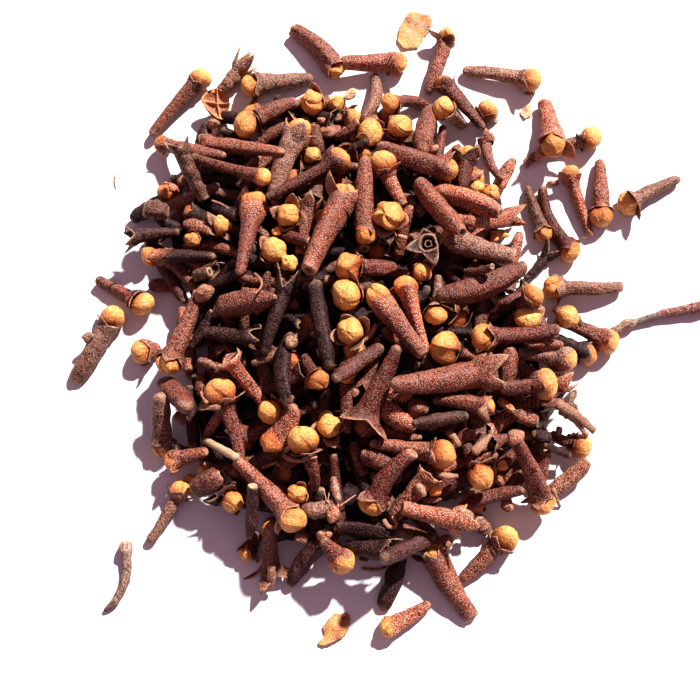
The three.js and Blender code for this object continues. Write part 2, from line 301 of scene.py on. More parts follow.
@dataclass(frozen=True)
class Mottled:
    """A dry surface with two colours that run into each other, fine pale flecks and a fine relief."""

    name: str
    body: str
    second: str
    patch_mm: float
    relief_mm: float = 0.1
    roughness: float = 0.8
    stretch: tuple[float, float, float] = (1.0, 1.0, 1.0)
    share: float = 0.8
    fleck: str = "#E8D8CC"
    flecks: float = 0.0
    tinted: bool = False
    see_through: float = 0.0

    def material(self) -> bpy.types.Material:
        """Makes the material.

        Returns:
            The material.
        """
        made = bpy.data.materials.new(self.name)
        node = adder(made)
        drawn = node(Kind.STRETCH, node(Kind.GRAIN), self.stretch)
        patches = node(Kind.NOISE, drawn, 1 / self.patch_mm, 4.0, 0.6)
        fine = node(Kind.NOISE, drawn, 3.2 / self.patch_mm, 2.0, 0.65)
        share = node(Kind.RAMP, patches, 0.38, 0.64, 0.0, self.share)
        base = node(Kind.BLEND, share, linear(self.body), linear(self.second))
        if self.tinted:
            base = node(Kind.DYE, 1.0, base, node(Kind.TINT))
        flecks = node(Kind.RAMP, fine, 0.5, 0.66, 0.0, self.flecks)
        base = node(Kind.BLEND, flecks, base, linear(self.fleck))
        height = node(Kind.PRODUCT_SUM, patches, 1.5, fine)
        bump = node(Kind.BUMP, height, 0.7, self.relief_mm * MM)
        node(Kind.OUTPUT, node(Kind.SURFACE, base, self.roughness, 0.35, 1.45, self.see_through, bump))
        return made


class Finish(Enum):
    """The kinds of surface, in the order of the material slots."""

    SKIN = CloveSkin()
    PETAL = BudPetal()
    # Broken wood-like pith: pale tan, which makes a cut end stand out from the dark skin.
    PITH = Mottled("broken_clove_pith", "#D3AE8C", "#7A4A34", 0.5, 0.15, 0.85)
    # Bark of a bare clove stalk: grey-brown with fine long fibres and pale scurf.
    BARK = Mottled("dry_stalk_bark", "#E8D8CC", "#806259", 0.5, 0.22, 0.75, (1.0, 1.0, 0.4), 0.85,
                   "#E2CEC4", 0.55, tinted=True)
    # Dry straw: pale and glossy along its fibres.
    STRAW = Mottled("dry_straw", "#BC9E7C", "#80604A", 0.3, 0.1, 0.5, (1.4, 1.4, 0.2), 0.6)
    # Papery husk: thin, yellow and lit through; its browner places come from the mesh.
    HUSK = Mottled("papery_husk", "#FFF3DC", "#E2B690", 0.7, 0.12, 0.5, share=0.55,
                   fleck="#FFF4DE", flecks=0.5, tinted=True, see_through=0.2)
    # The four-part cap of a bud seen from its open end: tan petal tissue with paler ridges.
    CAP = Mottled("open_bud_cap", "#FFE9D2", "#C98E62", 0.5, 0.12, 0.6, share=0.6,
                  fleck="#FFE6C0", flecks=0.5, tinted=True)
    # Crushed cloves and dust in the core under the heap, coloured near black as painted shade, so that the
    # gaps between the cloves look dark and far down.
    DUST = Mottled("painted_shade_rubble", "#301E22", "#4C3230", 1.1, 0.5, 0.9)


Materials = dict[Finish, bpy.types.Material]


# Meshes


@dataclass
class Patch:
    """A piece of surface, ready to be joined with others."""

    shape: Surface  # its corners, in millimetres, and its faces
    grain: Floats  # each corner's place in the piece's own frame, which the patterns follow
    worn: Floats | float  # how rubbed or how near a seam the corners are, from 0 to 1
    tint: Floats  # the colour that the finish starts from, one for all corners or one for each
    finish: Finish


def shaded(tint: Floats, light: Floats, redder: float = 1.35) -> Floats:
    """Darkens a colour and makes it redder as it darkens, as brown skins do.

    Args:
        tint: The linear colour, with its alpha.
        light: How light each corner is, where 1 leaves the colour as it is.
        redder: How much faster green and blue fall than red.

    Returns:
        A colour for each corner.
    """
    powers = np.array([1.0, redder, redder * 1.12, 0.0])
    return tint * np.maximum(light, 0.01)[:, None] ** powers


def lofted(rings: Floats, start: Floats | None = None, end: Floats | None = None) -> Surface:
    """Skins a row of closed rings, and closes each end that has a middle point.

    Args:
        rings: The corners, ring by ring, running anticlockwise about the way that the row goes.
        start: The point that closes the first ring.
        end: The point that closes the last ring.

    Returns:
        The points, the quads and the triangles.
    """
    count, sides = rings.shape[:2]
    points = rings.reshape(-1, 3)
    ring, side = np.meshgrid(np.arange(count - 1), np.arange(sides), indexing="ij")
    here, over = ring * sides + side, ring * sides + (side + 1) % sides
    quads = np.stack([here, over, over + sides, here + sides], -1).reshape(-1, 4)
    around = np.arange(sides)
    following = (around + 1) % sides
    fans: list[Faces] = []
    if start is not None:
        fans.append(np.stack([np.full(sides, len(points)), following, around], -1))
        points = np.vstack([points, start])
    if end is not None:
        last = (count - 1) * sides
        fans.append(np.stack([np.full(sides, len(points)), last + around, last + following], -1))
        points = np.vstack([points, end])
    triangles = np.vstack(fans) if fans else np.zeros((0, 3), np.int64)
    return points, quads, triangles


def distances(knots: Floats) -> Floats:
    """Gives how far along a path each of its corners is."""
    return np.append(0, np.cumsum(np.linalg.norm(np.diff(knots, axis=0), axis=1)))


def read_along(knots: Floats, legs: Floats, along: Floats, rounds: int = 0) -> Floats:
    """Reads a path at distances along it, and rounds its corners.

    Args:
        knots: The path's corners, with what else changes along it in further columns.
        legs: How far along the path each corner is.
        along: The distances to read at.
        rounds: How often the points between the ends are drawn towards their neighbours.

    Returns:
        All the columns at each distance.
    """
    line = np.stack([np.interp(along, legs, column) for column in knots.T], -1)
    for _ in range(rounds):
        line[1:-1] = (line[:-2] + 2 * line[1:-1] + line[2:]) / 4
    return line


def tube(line: Floats, wide: Floats, high: Floats, angles: Floats) -> tuple[Floats, Floats]:
    """Lays rings of corners along a line that nowhere runs upright.

    Args:
        line: The points of the line.
        wide: How far each ring reaches to its sides, for all its corners or for each.
        high: How far it reaches up and down.
        angles: Where the corners are round the line.

    Returns:
        The rings, and which way the line goes at each of them.
    """
    forward = np.gradient(line, axis=0)
    forward /= np.linalg.norm(forward, axis=1)[:, None]
    side = np.cross(forward, [0.0, 0.0, 1.0])
    side /= np.linalg.norm(side, axis=1)[:, None]
    upward = np.cross(side, forward)
    return (line[:, None, :] + (wide * np.cos(angles))[..., None] * -side[:, None, :]
            + (high * np.sin(angles))[..., None] * upward[:, None, :]), forward


def tube_grain(angles: Floats, radii: Floats, along: Floats) -> Floats:
    """Gives a tube's corners their places in its own frame, with its two closing points last.

    Args:
        angles: Where the corners are round the tube.
        radii: How far from the middle the pattern counts each ring.
        along: How far along the tube each ring is.

    Returns:
        The places.
    """
    sides = len(angles)
    across = [np.tile(turn, len(along)) * np.repeat(radii, sides)
              for turn in (np.cos(angles), np.sin(angles))]
    return np.vstack([np.stack([*across, np.repeat(along, sides)], -1), np.zeros((2, 3))])


@dataclass
class Piece:
    """One piece of the model: patches that become one mesh."""

    name: str
    slot: str  # the record's material slot
    nodes: tuple[str, ...] = ()  # the CAD nodes that it replaces
    patches: list[Patch] = field(default_factory=list)

    def build(self, materials: Materials) -> None:
        """Makes the object, puts it on the model's one body and hides the CAD nodes that it replaces.

        Args:
            materials: The material for each kind of surface.
        """
        used = [finish for finish in Finish if any(p.finish is finish for p in self.patches)]
        faces: list[list[int]] = []
        slots: list[Faces] = []
        first = 0
        for patch in self.patches:
            points, quads, triangles = patch.shape
            faces += (quads + first).tolist() + (triangles + first).tolist()
            slots.append(np.full(len(quads) + len(triangles), used.index(patch.finish)))
            first += len(points)
        points = np.vstack([p.shape[0] for p in self.patches])
        over = points[:, 2] - TABLE_GAP
        pressed = TABLE_PRESS * np.exp(np.minimum(over / TABLE_PRESS, 1.0) - 1)
        points[:, 2] = TABLE_GAP + np.where(over < TABLE_PRESS, pressed, over)
        mesh = bpy.data.meshes.new(self.name)
        mesh.from_pydata((points * MM).tolist(), [], faces)
        mesh.polygons.foreach_set("material_index", np.concatenate(slots).astype(np.int32))
        mesh.polygons.foreach_set("use_smooth", np.ones(len(faces), bool))
        for name, kind, values, parts in (
                ("grain", "FLOAT_VECTOR", "vector", [p.grain for p in self.patches]),
                ("worn", "FLOAT", "value", [np.broadcast_to(p.worn, len(p.grain)) for p in self.patches]),
                ("tint", "FLOAT_COLOR", "color",
                 [np.broadcast_to(p.tint, (len(p.grain), 4)) for p in self.patches])):
            mesh.attributes.new(name, kind, "POINT").data.foreach_set(
                values, np.concatenate(parts).ravel())
        for finish in used:
            mesh.materials.append(materials[finish])
        mesh.update()
        piece = bpy.data.objects.new(self.name, mesh)
        bpy.context.scene.collection.objects.link(piece)
        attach(piece, "root")
        if self.nodes:
            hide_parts(*self.nodes)
        log.info("%s: %d faces", self.name, len(faces))


@dataclass(frozen=True)
class Ripple:
    """A smooth closed unevenness round and along a shaft, from a few waves."""

    turns: Faces
    waves: Floats
    phases: Floats
    sizes: Floats

    @classmethod
    def seeded(cls, rng: np.random.Generator, long: float, cross: float) -> "Ripple":
        """Draws the waves.

        Args:
            rng: The source of chance.
            long: The size of the ridges that run along.
            cross: The size of the wrinkles that run across.

        Returns:
            The unevenness, as a share of the radius.
        """
        turns = np.concatenate([rng.integers(2, 6, 4), rng.integers(0, 4, 8)])
        waves = np.concatenate([rng.uniform(0, 3, 4), rng.uniform(7, 26, 8)])
        sizes = np.concatenate([rng.uniform(0.4, 1, 4) * long, rng.uniform(0.3, 1, 8) * cross])
        return cls(turns, waves, rng.uniform(0, 2 * math.pi, 12), sizes)

    def at(self, shares: Floats, angles: Floats) -> Floats:
        """Gives the unevenness at places on the shaft.

        Args:
            shares: The shares of the length.
            angles: The angles round the shaft.

        Returns:
            A row for each share and a column for each angle.
        """
        waves = (self.turns[:, None, None] * angles[None, None, :]
                 + self.waves[:, None, None] * shares[None, :, None] + self.phases[:, None, None])
        return (self.sizes[:, None, None] * np.sin(waves)).sum(0)


@dataclass(frozen=True)
class Detail:
    """How finely a clove is drawn."""

    rings: int
    sides: int
    petal: tuple[float, ...]
    bud_rings: int
    crown_rings: int
    crown_sides: int


FINE = Detail(28, 18, (0.0, 0.05, 0.16, 0.32, 0.5, 0.68, 0.84, 0.95), 16, 6, 32)
PLAIN = Detail(12, 10, (0.0, 0.1, 0.38, 0.68, 0.92), 9, 3, 16)


@dataclass(frozen=True)
class Look:
    """How a clove looks, with its widths in the pixels that they show on the table."""

    wide: float = 16.0  # the shaft, at its thickest
    bud: float = 12.0  # the bud's radius, or 0 where there is none
    tone: Tone = Tone.RUSSET
    top: Top = Top.BUD
    broken: bool = False  # whether the tail is snapped off and shows pale pith
    flare: float = 1.16  # how wide the calyx opens, over the shaft; under 1, how blunt a worn top is
    reach: float = 1.0  # how long the sepals are, over the usual
    splay: float | None = None  # how far an open calyx's sepals lean out at their tips, in degrees
    club: bool = False  # whether the calyx is shut round the bud, so that the head is one knob
    # On some cloves light also paints light or shade onto their colour, beside their own tone.
    light: float = 1.0  # how light its colours are, over the usual
    seat: float | None = None  # how far the bud's middle is over the rim, in bud radii, if not chance
    straight: bool = False  # whether the shaft is as thick at its blunt tail as at its middle


@dataclass(frozen=True)
class Draft:
    """What the parts of one clove share while they are drawn."""

    rng: np.random.Generator
    axes: Floats  # the two cross directions and the way from tail to head, as rows
    length: float  # from tail to head
    tint: Floats  # the skin's colour


@dataclass(frozen=True)
class Clove:
    """One dried flower bud: a tapered shaft, a calyx with four sepals, and the round bud on top."""

    tail: Floats  # the tip of the thin end
    head: Floats  # the middle of the bud, or of the calyx rim where there is no bud
    look: Look
    seed: int  # what its own shape is drawn from
    detail: Detail = FINE

    # The shaft's outline, whole or tapered or worn to a stump, at these shares of its length.
    SHARES = (0.0, 0.025, 0.09, 0.35, 0.68, 0.87, 1.0)
    WHOLE = (0.36, 0.62, 0.76, 0.93, 1.0, 0.96, 1.0)
    TAPERED = (0.3, 0.5, 0.58, 0.74, 0.94, 1.04, 1.1)
    STUMP = (0.42, 0.68, 0.84, 1.0, 0.98, 0.86, 0.55)
    BALLS = 7
    RIPENESS = {Tone.DARK: 0.9}  # how light the bud on a skin of this tone is
    KNOB = "#D08A50"  # a shut head's skin, as golden as the petals in it

    @property
    def radius(self) -> float:
        """Gives the shaft's largest radius."""
        return self.look.wide / 2 / PIXELS_PER_MM

    @property
    def bud(self) -> float:
        """Gives the bud's radius."""
        return self.look.bud / PIXELS_PER_MM

    def axes(self, rng: np.random.Generator) -> tuple[Floats, float]:
        """Gives the clove's own frame.

        Args:
            rng: The source of chance for how it is turned about itself.

        Returns:
            A matrix with the two cross directions and the way from tail to head as its rows, and
            the distance from tail to head.
        """
        forward = self.head - self.tail
        length = float(np.linalg.norm(forward))
        forward = forward / length
        aside = np.cross(forward, [0.0, 0.0, 1.0])
        if np.linalg.norm(aside) < 0.05:
            aside = np.array([1.0, 0.0, 0.0])
        aside = aside - forward * aside.dot(forward)
        aside /= np.linalg.norm(aside)
        upward = np.cross(forward, aside)
        roll = rng.uniform(0, math.pi / 2)
        first = aside * math.cos(roll) + upward * math.sin(roll)
        return np.vstack([first, np.cross(forward, first), forward]), length

    def rim(self, length: float) -> float:
        """Gives how far the calyx rim is from the tail."""
        return max(length - self.sunk() * self.bud, length * 0.35) if self.bud else length

    def sunk(self) -> float:
        """Gives how far under the bud's middle the calyx rim is.

        Returns:
            The distance, over the bud's radius.
        """
        if self.look.seat is not None:
            return self.look.seat
        return 0.05 if self.look.club else 0.28 + 0.4 * (self.seed * 0.618 % 1)

    def mouth(self) -> float:
        """Gives how wide the calyx rim is: it grips a bud, if there is one.

        Returns:
            The rim's radius, over the shaft's.
        """
        if self.look.top is not Top.BUD:
            return self.look.flare
        grip = math.sqrt(1 - self.sunk() ** 2) * self.bud / self.radius
        if self.look.club:
            return grip
        return float(np.clip(grip, self.look.flare - 0.1, self.look.flare + 0.42))

    def balls(self) -> tuple[Floats, Floats]:
        """Gives the balls that stand for the clove where it touches others.

        Returns:
            Each ball's share of the way from tail to head, and its radius.
        """
        shares = np.linspace(0.06, 0.94, self.BALLS)
        radii = self.radius * np.interp(shares, self.SHARES, self.WHOLE)
        if self.look.top is Top.BUD:
            shares, radii = np.append(shares[:-1], 1.0), np.append(radii[:-1], self.bud)
        return shares, radii

    def patches(self) -> dict[Part, list[Patch]]:
        """Builds every surface of the clove.

        Returns:
            The patches of each part.
        """
        rng = np.random.default_rng(self.seed)
        draft = Draft(rng, *self.axes(rng), self.tint(rng))
        found: dict[Part, list[Patch]] = {part: [] for part in Part}
        found[Part.SHAFT] = self.shaft(draft)
        if self.look.top is not Top.WORN and not self.look.club:
            found[Part.SEPALS] = [self.crown(draft)]
        if self.look.top is Top.BUD:
            found[Part.BUD] = [self.bud_patch(draft)]
        return found

    def placed(self, shape: Surface, worn: Floats | float, draft: Draft, tint: Floats,
               finish: Finish = Finish.SKIN) -> Patch:
        """Moves a shape from the clove's own frame to its place in the heap.

        Args:
            shape: The points, quads and triangles in the clove's own frame, tail at the origin.
            worn: How worn each point is.
            draft: What the clove's parts share.
            tint: The colour that the finish starts from, one or one for each point.
            finish: The kind of surface.

        Returns:
            The patch.
        """
        points, quads, triangles = shape
        shift = np.random.default_rng(self.seed + 7).uniform(0, 400, 3)
        placed = points @ draft.axes + self.tail
        return Patch((placed, quads, triangles), points + shift, worn, tint, finish)

    def tint(self, rng: np.random.Generator) -> Floats:
        """Draws this clove's own shade of its tone."""
        return shaded(linear(self.look.tone.value), self.look.light * rng.uniform(0.78, 1.16, 1), 1.2)[0]

    def shaft(self, draft: Draft) -> list[Patch]:
        """Builds the shaft with its calyx, and the pith or the hollow at its ends.

        Args:
            draft: What the clove's parts share.

        Returns:
            The patches.
        """
        rng, length, tint, sides = draft.rng, draft.length, draft.tint, self.detail.sides
        rim = self.rim(length)
        shares = np.concatenate([[0.0, 0.02, 0.05], np.linspace(0.09, 0.93, self.detail.rings),
                                 [0.965, 1.0]])
        points = self.STUMP if self.look.top is Top.WORN else self.WHOLE[:-1] + (self.mouth(),)
        taper = rng.uniform(0, 1) if self.look.top is not Top.WORN else 0.0
        taper *= not self.look.straight
        outline = np.array(points) + taper * (np.array(self.TAPERED) - self.WHOLE)
        outline[-1] = points[-1]
        if self.look.club:
            outline[-2] = (outline[-3] + 2 * points[-1]) / 3
        if self.look.top is Top.WORN and self.look.flare < 1:
            outline[-3:] = 0.85, 0.6, self.look.flare
        outline *= rng.uniform(0.93, 1.07, len(points))
        blunt = rng.random() < 0.6
        if self.look.broken or blunt or self.look.straight:
            outline[:3] = outline[:3] * 0.35 + 0.62 * outline[3]
        radii = np.interp(shares, self.SHARES, outline)
        radii[2:-2] = np.convolve(radii, [0.25, 0.5, 0.25], "same")[2:-2]
        angles = np.arange(sides) / sides * 2 * math.pi
        rough = 1.7 if self.look.tone in (Tone.DARK, Tone.GREY) else 1.0
        uneven = Ripple.seeded(rng, 0.042, 0.017 * rough).at(shares, angles)
        square = 0.06 * np.cos(4 * angles)[None, :] * np.clip(shares * 1.3, 0.25, 1)[:, None]
        radius = self.radius * radii[:, None] * (1 + uneven + square)
        lean = rng.uniform(0, 2 * math.pi)
        bow = float(np.clip(rng.normal(0, 0.045), -0.1, 0.1)) * length
        hook = float(np.clip(rng.normal(0, 0.045), -0.1, 0.1)) * length * (1 - shares) ** 3
        arc = bow * 4 * shares * (1 - shares)
        middle = np.stack([arc * math.cos(lean) + hook * math.sin(lean),
                           arc * math.sin(lean) - hook * math.cos(lean), shares * rim], -1)
        flat = rng.uniform(0.82, 1.0)
        ring = np.stack([np.cos(angles), np.sin(angles) * flat, np.zeros_like(angles)], -1)
        rings = middle[:, None, :] + radius[:, :, None] * ring[None, :, :]
        if self.look.broken:
            rings[0, :, 2] += rng.uniform(-0.2, 0.2, sides)
        worn = np.interp(shares, [0, 0.03, 0.08, 0.95, 1.0], [0.4, 0.2, 0.0, 0.0, 0.25])
        ends = rng.uniform(0.62, 1.12, 2)
        light = (np.interp(shares, [0, 0.3, 0.75, 1], [ends[0], 1.0, 1.0, ends[1]])[:, None]
                 * (1 + 0.14 * np.cos(angles - lean))[None, :])
        tints = shaded(tint, light.ravel()).reshape(len(shares), sides, 4)
        if self.look.club:
            knob = shaded(linear(self.KNOB), np.full(sides, self.look.light))
            golden = np.clip((shares - 0.62) / 0.34, 0, 1)[:, None, None] ** 1.3
            tints = tints * (1 - golden) + knob * golden
        start, end = None, None
        if not self.look.broken:
            rings, worn, tints, start = self.closed(rings, worn, tints, middle[0], -1, blunt)
        if self.look.top is Top.WORN:
            rings, worn, tints, end = self.closed(rings[::-1], worn[::-1], tints[::-1], middle[-1],
                                                  1, rng.random() < 0.4)
            rings, worn, tints = rings[::-1], worn[::-1], tints[::-1]
        shape = lofted(rings, start, end)
        ends_shut = [tints[index].mean(0, keepdims=True) * [[0.6, 0.5, 0.5, 1.0]]
                     for index, point in ((0, start), (-1, end)) if point is not None]
        tints = np.vstack([tints.reshape(-1, 4), *ends_shut])
        worn = np.append(np.repeat(worn, sides), np.full(len(ends_shut), 0.1))
        patches = [self.placed(shape, worn, draft, tints)]
        if self.look.top is Top.OPEN:
            patches.append(self.hollow(rings[-1], rim, draft))
        if self.look.broken:
            patches.append(self.pith(rings[0][::-1], middle[0], draft))
        return patches

    def closed(self, rings: Floats, worn: Floats, tints: Floats, middle: Floats, way: int,
               blunt: bool) -> tuple[Floats, Floats, Floats, Floats]:
        """Adds two rings before the first one that close an end as a dome, or blunt with a scar.

        Args:
            rings: The shaft's rings, with the end to close first.
            worn: How worn each ring is.
            tints: The colour at each corner of each ring.
            middle: The middle of the first ring.
            way: Which way the end faces along the shaft, 1 or -1.
            blunt: Whether the end is the flat scar of a stalk.

        Returns:
            The rings, the wear, the colours and the closing point.
        """
        radius = float(np.linalg.norm(rings[0] - middle, axis=1).mean())
        steps = ((0.42, -0.14), (0.76, 0.16)) if blunt else ((0.45, 0.42), (0.8, 0.24))
        added = [middle + (rings[0] - middle) * share + [0, 0, way * lift * radius] for share, lift in steps]
        lip = np.array([0.1, 0.75]) if blunt else np.array([0.3, 0.2])
        shades = np.array([0.45, 1.15] if blunt else [0.85, 1.0])[:, None, None] * tints[:1]
        point = middle + [0, 0, way * (-0.2 if blunt else 0.5) * radius]
        return (np.concatenate([added, rings]), np.append(lip, worn), np.concatenate([shades, tints]), point)

    def hollow(self, edge: Floats, rim: float, draft: Draft) -> Patch:
        """Builds the hollow of the calyx, with the low square ring round its middle.

        Args:
            edge: The shaft's last ring.
            rim: How far from the tail the calyx ends.
            draft: What the clove's parts share.

        Returns:
            The patch.
        """
        steps = ((0.88, 0.14), (0.72, 0.05), (0.64, -0.4), (0.55, -0.75), (0.44, -0.6),
                 (0.37, -0.2), (0.27, -0.22), (0.2, -0.8))
        middle = np.array([0.0, 0.0, rim])
        rings = [edge]
        for share, lift in steps:
            rings.append(middle + (edge - middle) * share + [0, 0, lift * self.radius])
        shape = lofted(np.array(rings), None, middle + [0, 0, -0.85 * self.radius])
        # Painted shade: the hollow darkens with depth to a near-black bottom, the lip and the top of the low
        # ring lighter.
        light = np.repeat([1.0, 1.1, 0.7, 0.3, 0.15, 0.2, 0.7, 0.7, 0.1], self.detail.sides)
        worn = np.repeat([0.3, 0.5, 0.2, 0.0, 0.0, 0.0, 0.3, 0.3, 0.0], self.detail.sides)
        return self.placed(shape, np.append(worn, 0.0), draft,
                           shaded(draft.tint, np.append(light, 0.1)))

    def pith(self, edge: Floats, middle: Floats, draft: Draft) -> Patch:
        """Closes a snapped tail with rough pith.

        Args:
            edge: The shaft's first ring, turned round so that it faces out.
            middle: The middle of that ring.
            draft: What the clove's parts share.

        Returns:
            The patch.
        """
        rings = [edge]
        for share in (0.7, 0.35):
            ring = middle + (edge - middle) * share
            ring[:, 2] += draft.rng.uniform(-0.12, 0.12, len(ring)) + 0.1
            rings.append(ring)
        return self.placed(lofted(np.array(rings), None, middle + [0, 0, 0.1]), 0.0, draft, draft.tint,
                           Finish.PITH)

    def crown(self, draft: Draft) -> Patch:
        """Builds the four fleshy lobes as one crown: round the bud, or leaning out from the rim.

        Args:
            draft: What the clove's parts share.

        Returns:
            The patch.
        """
        rng, length, count = draft.rng, draft.length, self.detail.crown_sides
        rim, rows = self.rim(length), np.linspace(0, 1, self.detail.crown_rings)[:, None]
        angles = np.arange(count) / count * 2 * math.pi
        lobe = (angles / (math.pi / 2)).astype(int)
        sharp = (1 - np.abs(2 * (angles / (math.pi / 2) - lobe) - 1)) ** rng.uniform(0.8, 1.1)
        if self.look.top is Top.OPEN:
            sharp = sharp ** 1.4
        longs, curls = rng.uniform(0.72, 1.25, 4), rng.uniform(0, 1, 4) ** 1.6
        longs[rng.random(4) < 0.1] = 0.3
        reach = (0.14 + sharp * longs[lobe] * self.look.reach) * rng.uniform(0.95, 1.05, count)
        curl = (curls[lobe] * sharp)[None, :]
        thick = self.radius * rng.uniform(0.26, 0.36) * (0.55 + 0.45 * sharp)[None, :]
        if self.look.top is Top.BUD:
            foot = math.acos(-self.sunk()) + 0.1
            polar = foot - 0.62 * reach[None, :] * rows
            lift = 1.5 * self.radius * curl * rows ** 2.5
            inner = np.stack([np.sin(polar) * (self.bud * 0.99 + lift),
                              length + np.cos(polar) * (self.bud * 0.99 + lift * 0.7)], -1)
            normal = np.stack([np.sin(polar), np.cos(polar)], -1)
        else:
            leans = np.array([rng.uniform(2, 16), rng.uniform(10, 66)])
            if self.look.splay is not None:
                leans = np.array([self.look.splay * 0.55, self.look.splay])
            lean = np.radians(leans[0] + (leans[1] - leans[0]) * rows + 16 * (curl - 0.3) * rows)
            step = np.stack([np.sin(lean), np.cos(lean)], -1) * reach[None, :, None]
            step = step * 1.35 * self.radius / (len(rows) - 1)
            step[0] = self.radius * self.mouth() * 0.93, rim - 0.12 * self.radius
            inner = np.cumsum(step, 0)
            normal = np.stack([np.cos(lean), -np.sin(lean)], -1)
        outer = inner + normal * (thick * (1 - 0.7 * rows))[..., None]
        first = np.tile([self.radius * 0.9, rim - 0.9 * self.radius], (1, count, 1))
        last = np.tile([self.bud * 0.8 if self.bud else self.radius * self.mouth() * 0.8,
                        rim - 0.3 * self.radius], (1, count, 1))
        line = np.concatenate([first, outer, inner[::-1], last])
        rings = np.stack([line[..., 0] * np.cos(angles), line[..., 0] * np.sin(angles), line[..., 1]], -1)
        edge = np.concatenate([[0.0], rows[:, 0], rows[::-1, 0], [0.0]])
        worn = (np.clip(edge * 2.2 - 1.2, 0, 1)[:, None] * (0.75 - 0.35 * sharp)[None, :]).ravel()
        # Painted shade: the inner faces of the lobes darken towards their foot beside the bud, and the
        # closing ring inside is near black; the outer faces lighten a little towards the tips, and each lobe
        # has a random tone of its own.
        light = (np.concatenate([[1.0], 1 + 0.15 * rows[:, 0], 0.9 - 0.5 * (1 - rows[::-1, 0]), [0.2]])
                 [:, None] * rng.uniform(0.78, 1.22, 4)[lobe][None, :]).ravel()
        return self.placed(lofted(rings), worn, draft, shaded(draft.tint, light, 1.2))

    def bud_patch(self, draft: Draft) -> Patch:
        """Builds the bud: four petals that overlap one another like a camera's shutter.

        Args:
            draft: What the clove's parts share.

        Returns:
            The patch.
        """
        rng, length = draft.rng, draft.length
        columns = np.array([petal + share for petal in range(4) for share in self.detail.petal])
        share = columns % 1
        polar = np.linspace(2.5, 0.12, self.detail.bud_rings)
        twist, first = rng.uniform(0.2, 0.9), rng.uniform(0, math.pi / 2)
        turned = columns[None, :] * math.pi / 2 + first + twist * (polar[:, None] / 1.5)
        drop = rng.uniform(0.02, 0.075)
        fall = drop * (1 - share) + 0.02 * np.sin(share * math.pi)
        fade = np.sin(np.clip(polar, 0, math.pi / 2)) ** 0.6
        stretch = rng.uniform(0.86, 1.06)
        crease = rng.choice([0.012, 0.02, 0.034])
        dents = Ripple.seeded(rng, crease * 1.3, crease * 0.55).at(polar / 5, turned[0])
        radius = self.bud * (0.965 + fall[None, :] * fade[:, None] + dents - drop * 0.4)
        square = 1 + rng.choice([0.01, 0.03, 0.065]) * np.cos(4 * (columns * math.pi / 2 + first))
        flat = radius * np.sin(polar)[:, None] * square[None, :]
        points = np.stack([flat * np.cos(turned), flat * np.sin(turned),
                           radius * np.cos(polar)[:, None] * stretch + length], -1)
        tip = np.array([0, 0, length + self.bud * stretch * rng.uniform(0.9, 0.97)])
        tilt = rng.normal(0, 0.12, 2)
        points[..., :2] += (points[..., 2:] - length) * tilt
        tip[:2] += (tip[2] - length) * tilt
        shape = lofted(points, None, tip)
        seam = np.clip(1 - share / 0.1, 0, 1) * 0.6 + np.clip((share - 0.9) / 0.1, 0, 1) * 0.3
        worn = np.append((seam[None, :] * fade[:, None]).ravel(), 0.4)
        ripe = self.RIPENESS.get(self.look.tone, 1.0) * self.look.light * rng.uniform(0.86, 1.06)
        # Painted shade: the bud darkens and reddens from its top down to where the calyx holds it.
        light = np.interp(polar, [0.1, 1.0, 1.7, 2.5], [1.0, 0.97, 0.76, 0.4]) * ripe
        light = np.append(np.repeat(light, len(columns)), 0.9 * ripe)
        tint = shaded(np.ones(4), light, rng.uniform(1.6, 2.2))
        return self.placed(shape, worn, draft, tint, Finish.PETAL)


# The frame's camera, and where things lie


@dataclass(frozen=True)
class Sight:
    """The camera, and the way from a pixel of its frame to a place in the heap."""

    elevation: float = 76.0
    target: tuple[float, float, float] = (-1.0, -3.0, 0.0)
    lens: float = 60.0
    sensor: float = 36.0

    def distance(self) -> float:
        """Gives how far the camera is from its target."""
        return FRAME_PIXELS * self.lens / self.sensor / PIXELS_PER_MM

    def place(self) -> Floats:
        """Gives the camera's place.

        Returns:
            The place, in millimetres.
        """
        tilt = math.radians(self.elevation)
        back = np.array([0.0, -math.cos(tilt), math.sin(tilt)])
        return np.array(self.target) + back * self.distance()

    def point(self, pixel: Pixel, height: float) -> Floats:
        """Gives the point at a height that shows at a pixel.

        Args:
            pixel: The pixel, from the frame's upper left corner.
            height: The point's height over the table.

        Returns:
            The point.
        """
        tilt = math.radians(self.elevation)
        right = (pixel[0] - FRAME_PIXELS / 2) / FRAME_PIXELS * self.sensor / self.lens
        up = (FRAME_PIXELS / 2 - pixel[1]) / FRAME_PIXELS * self.sensor / self.lens
        ray = np.array([right, math.cos(tilt) + up * math.sin(tilt), -math.sin(tilt) + up * math.cos(tilt)])
        start = self.place()
        return start + ray * (start[2] - height) / -ray[2]

    def build(self) -> None:
        """Makes the camera."""
        data = bpy.data.cameras.new("camera")
        data.lens, data.sensor_width = self.lens, self.sensor
        data.clip_start, data.clip_end = 0.01, 50.0
        camera = bpy.data.objects.new("camera", data)
        camera.location = Vector(self.place() * MM)
        camera.rotation_euler = (math.radians(90 - self.elevation), 0.0, 0.0)
        bpy.context.scene.collection.objects.link(camera)
        bpy.context.scene.camera = camera


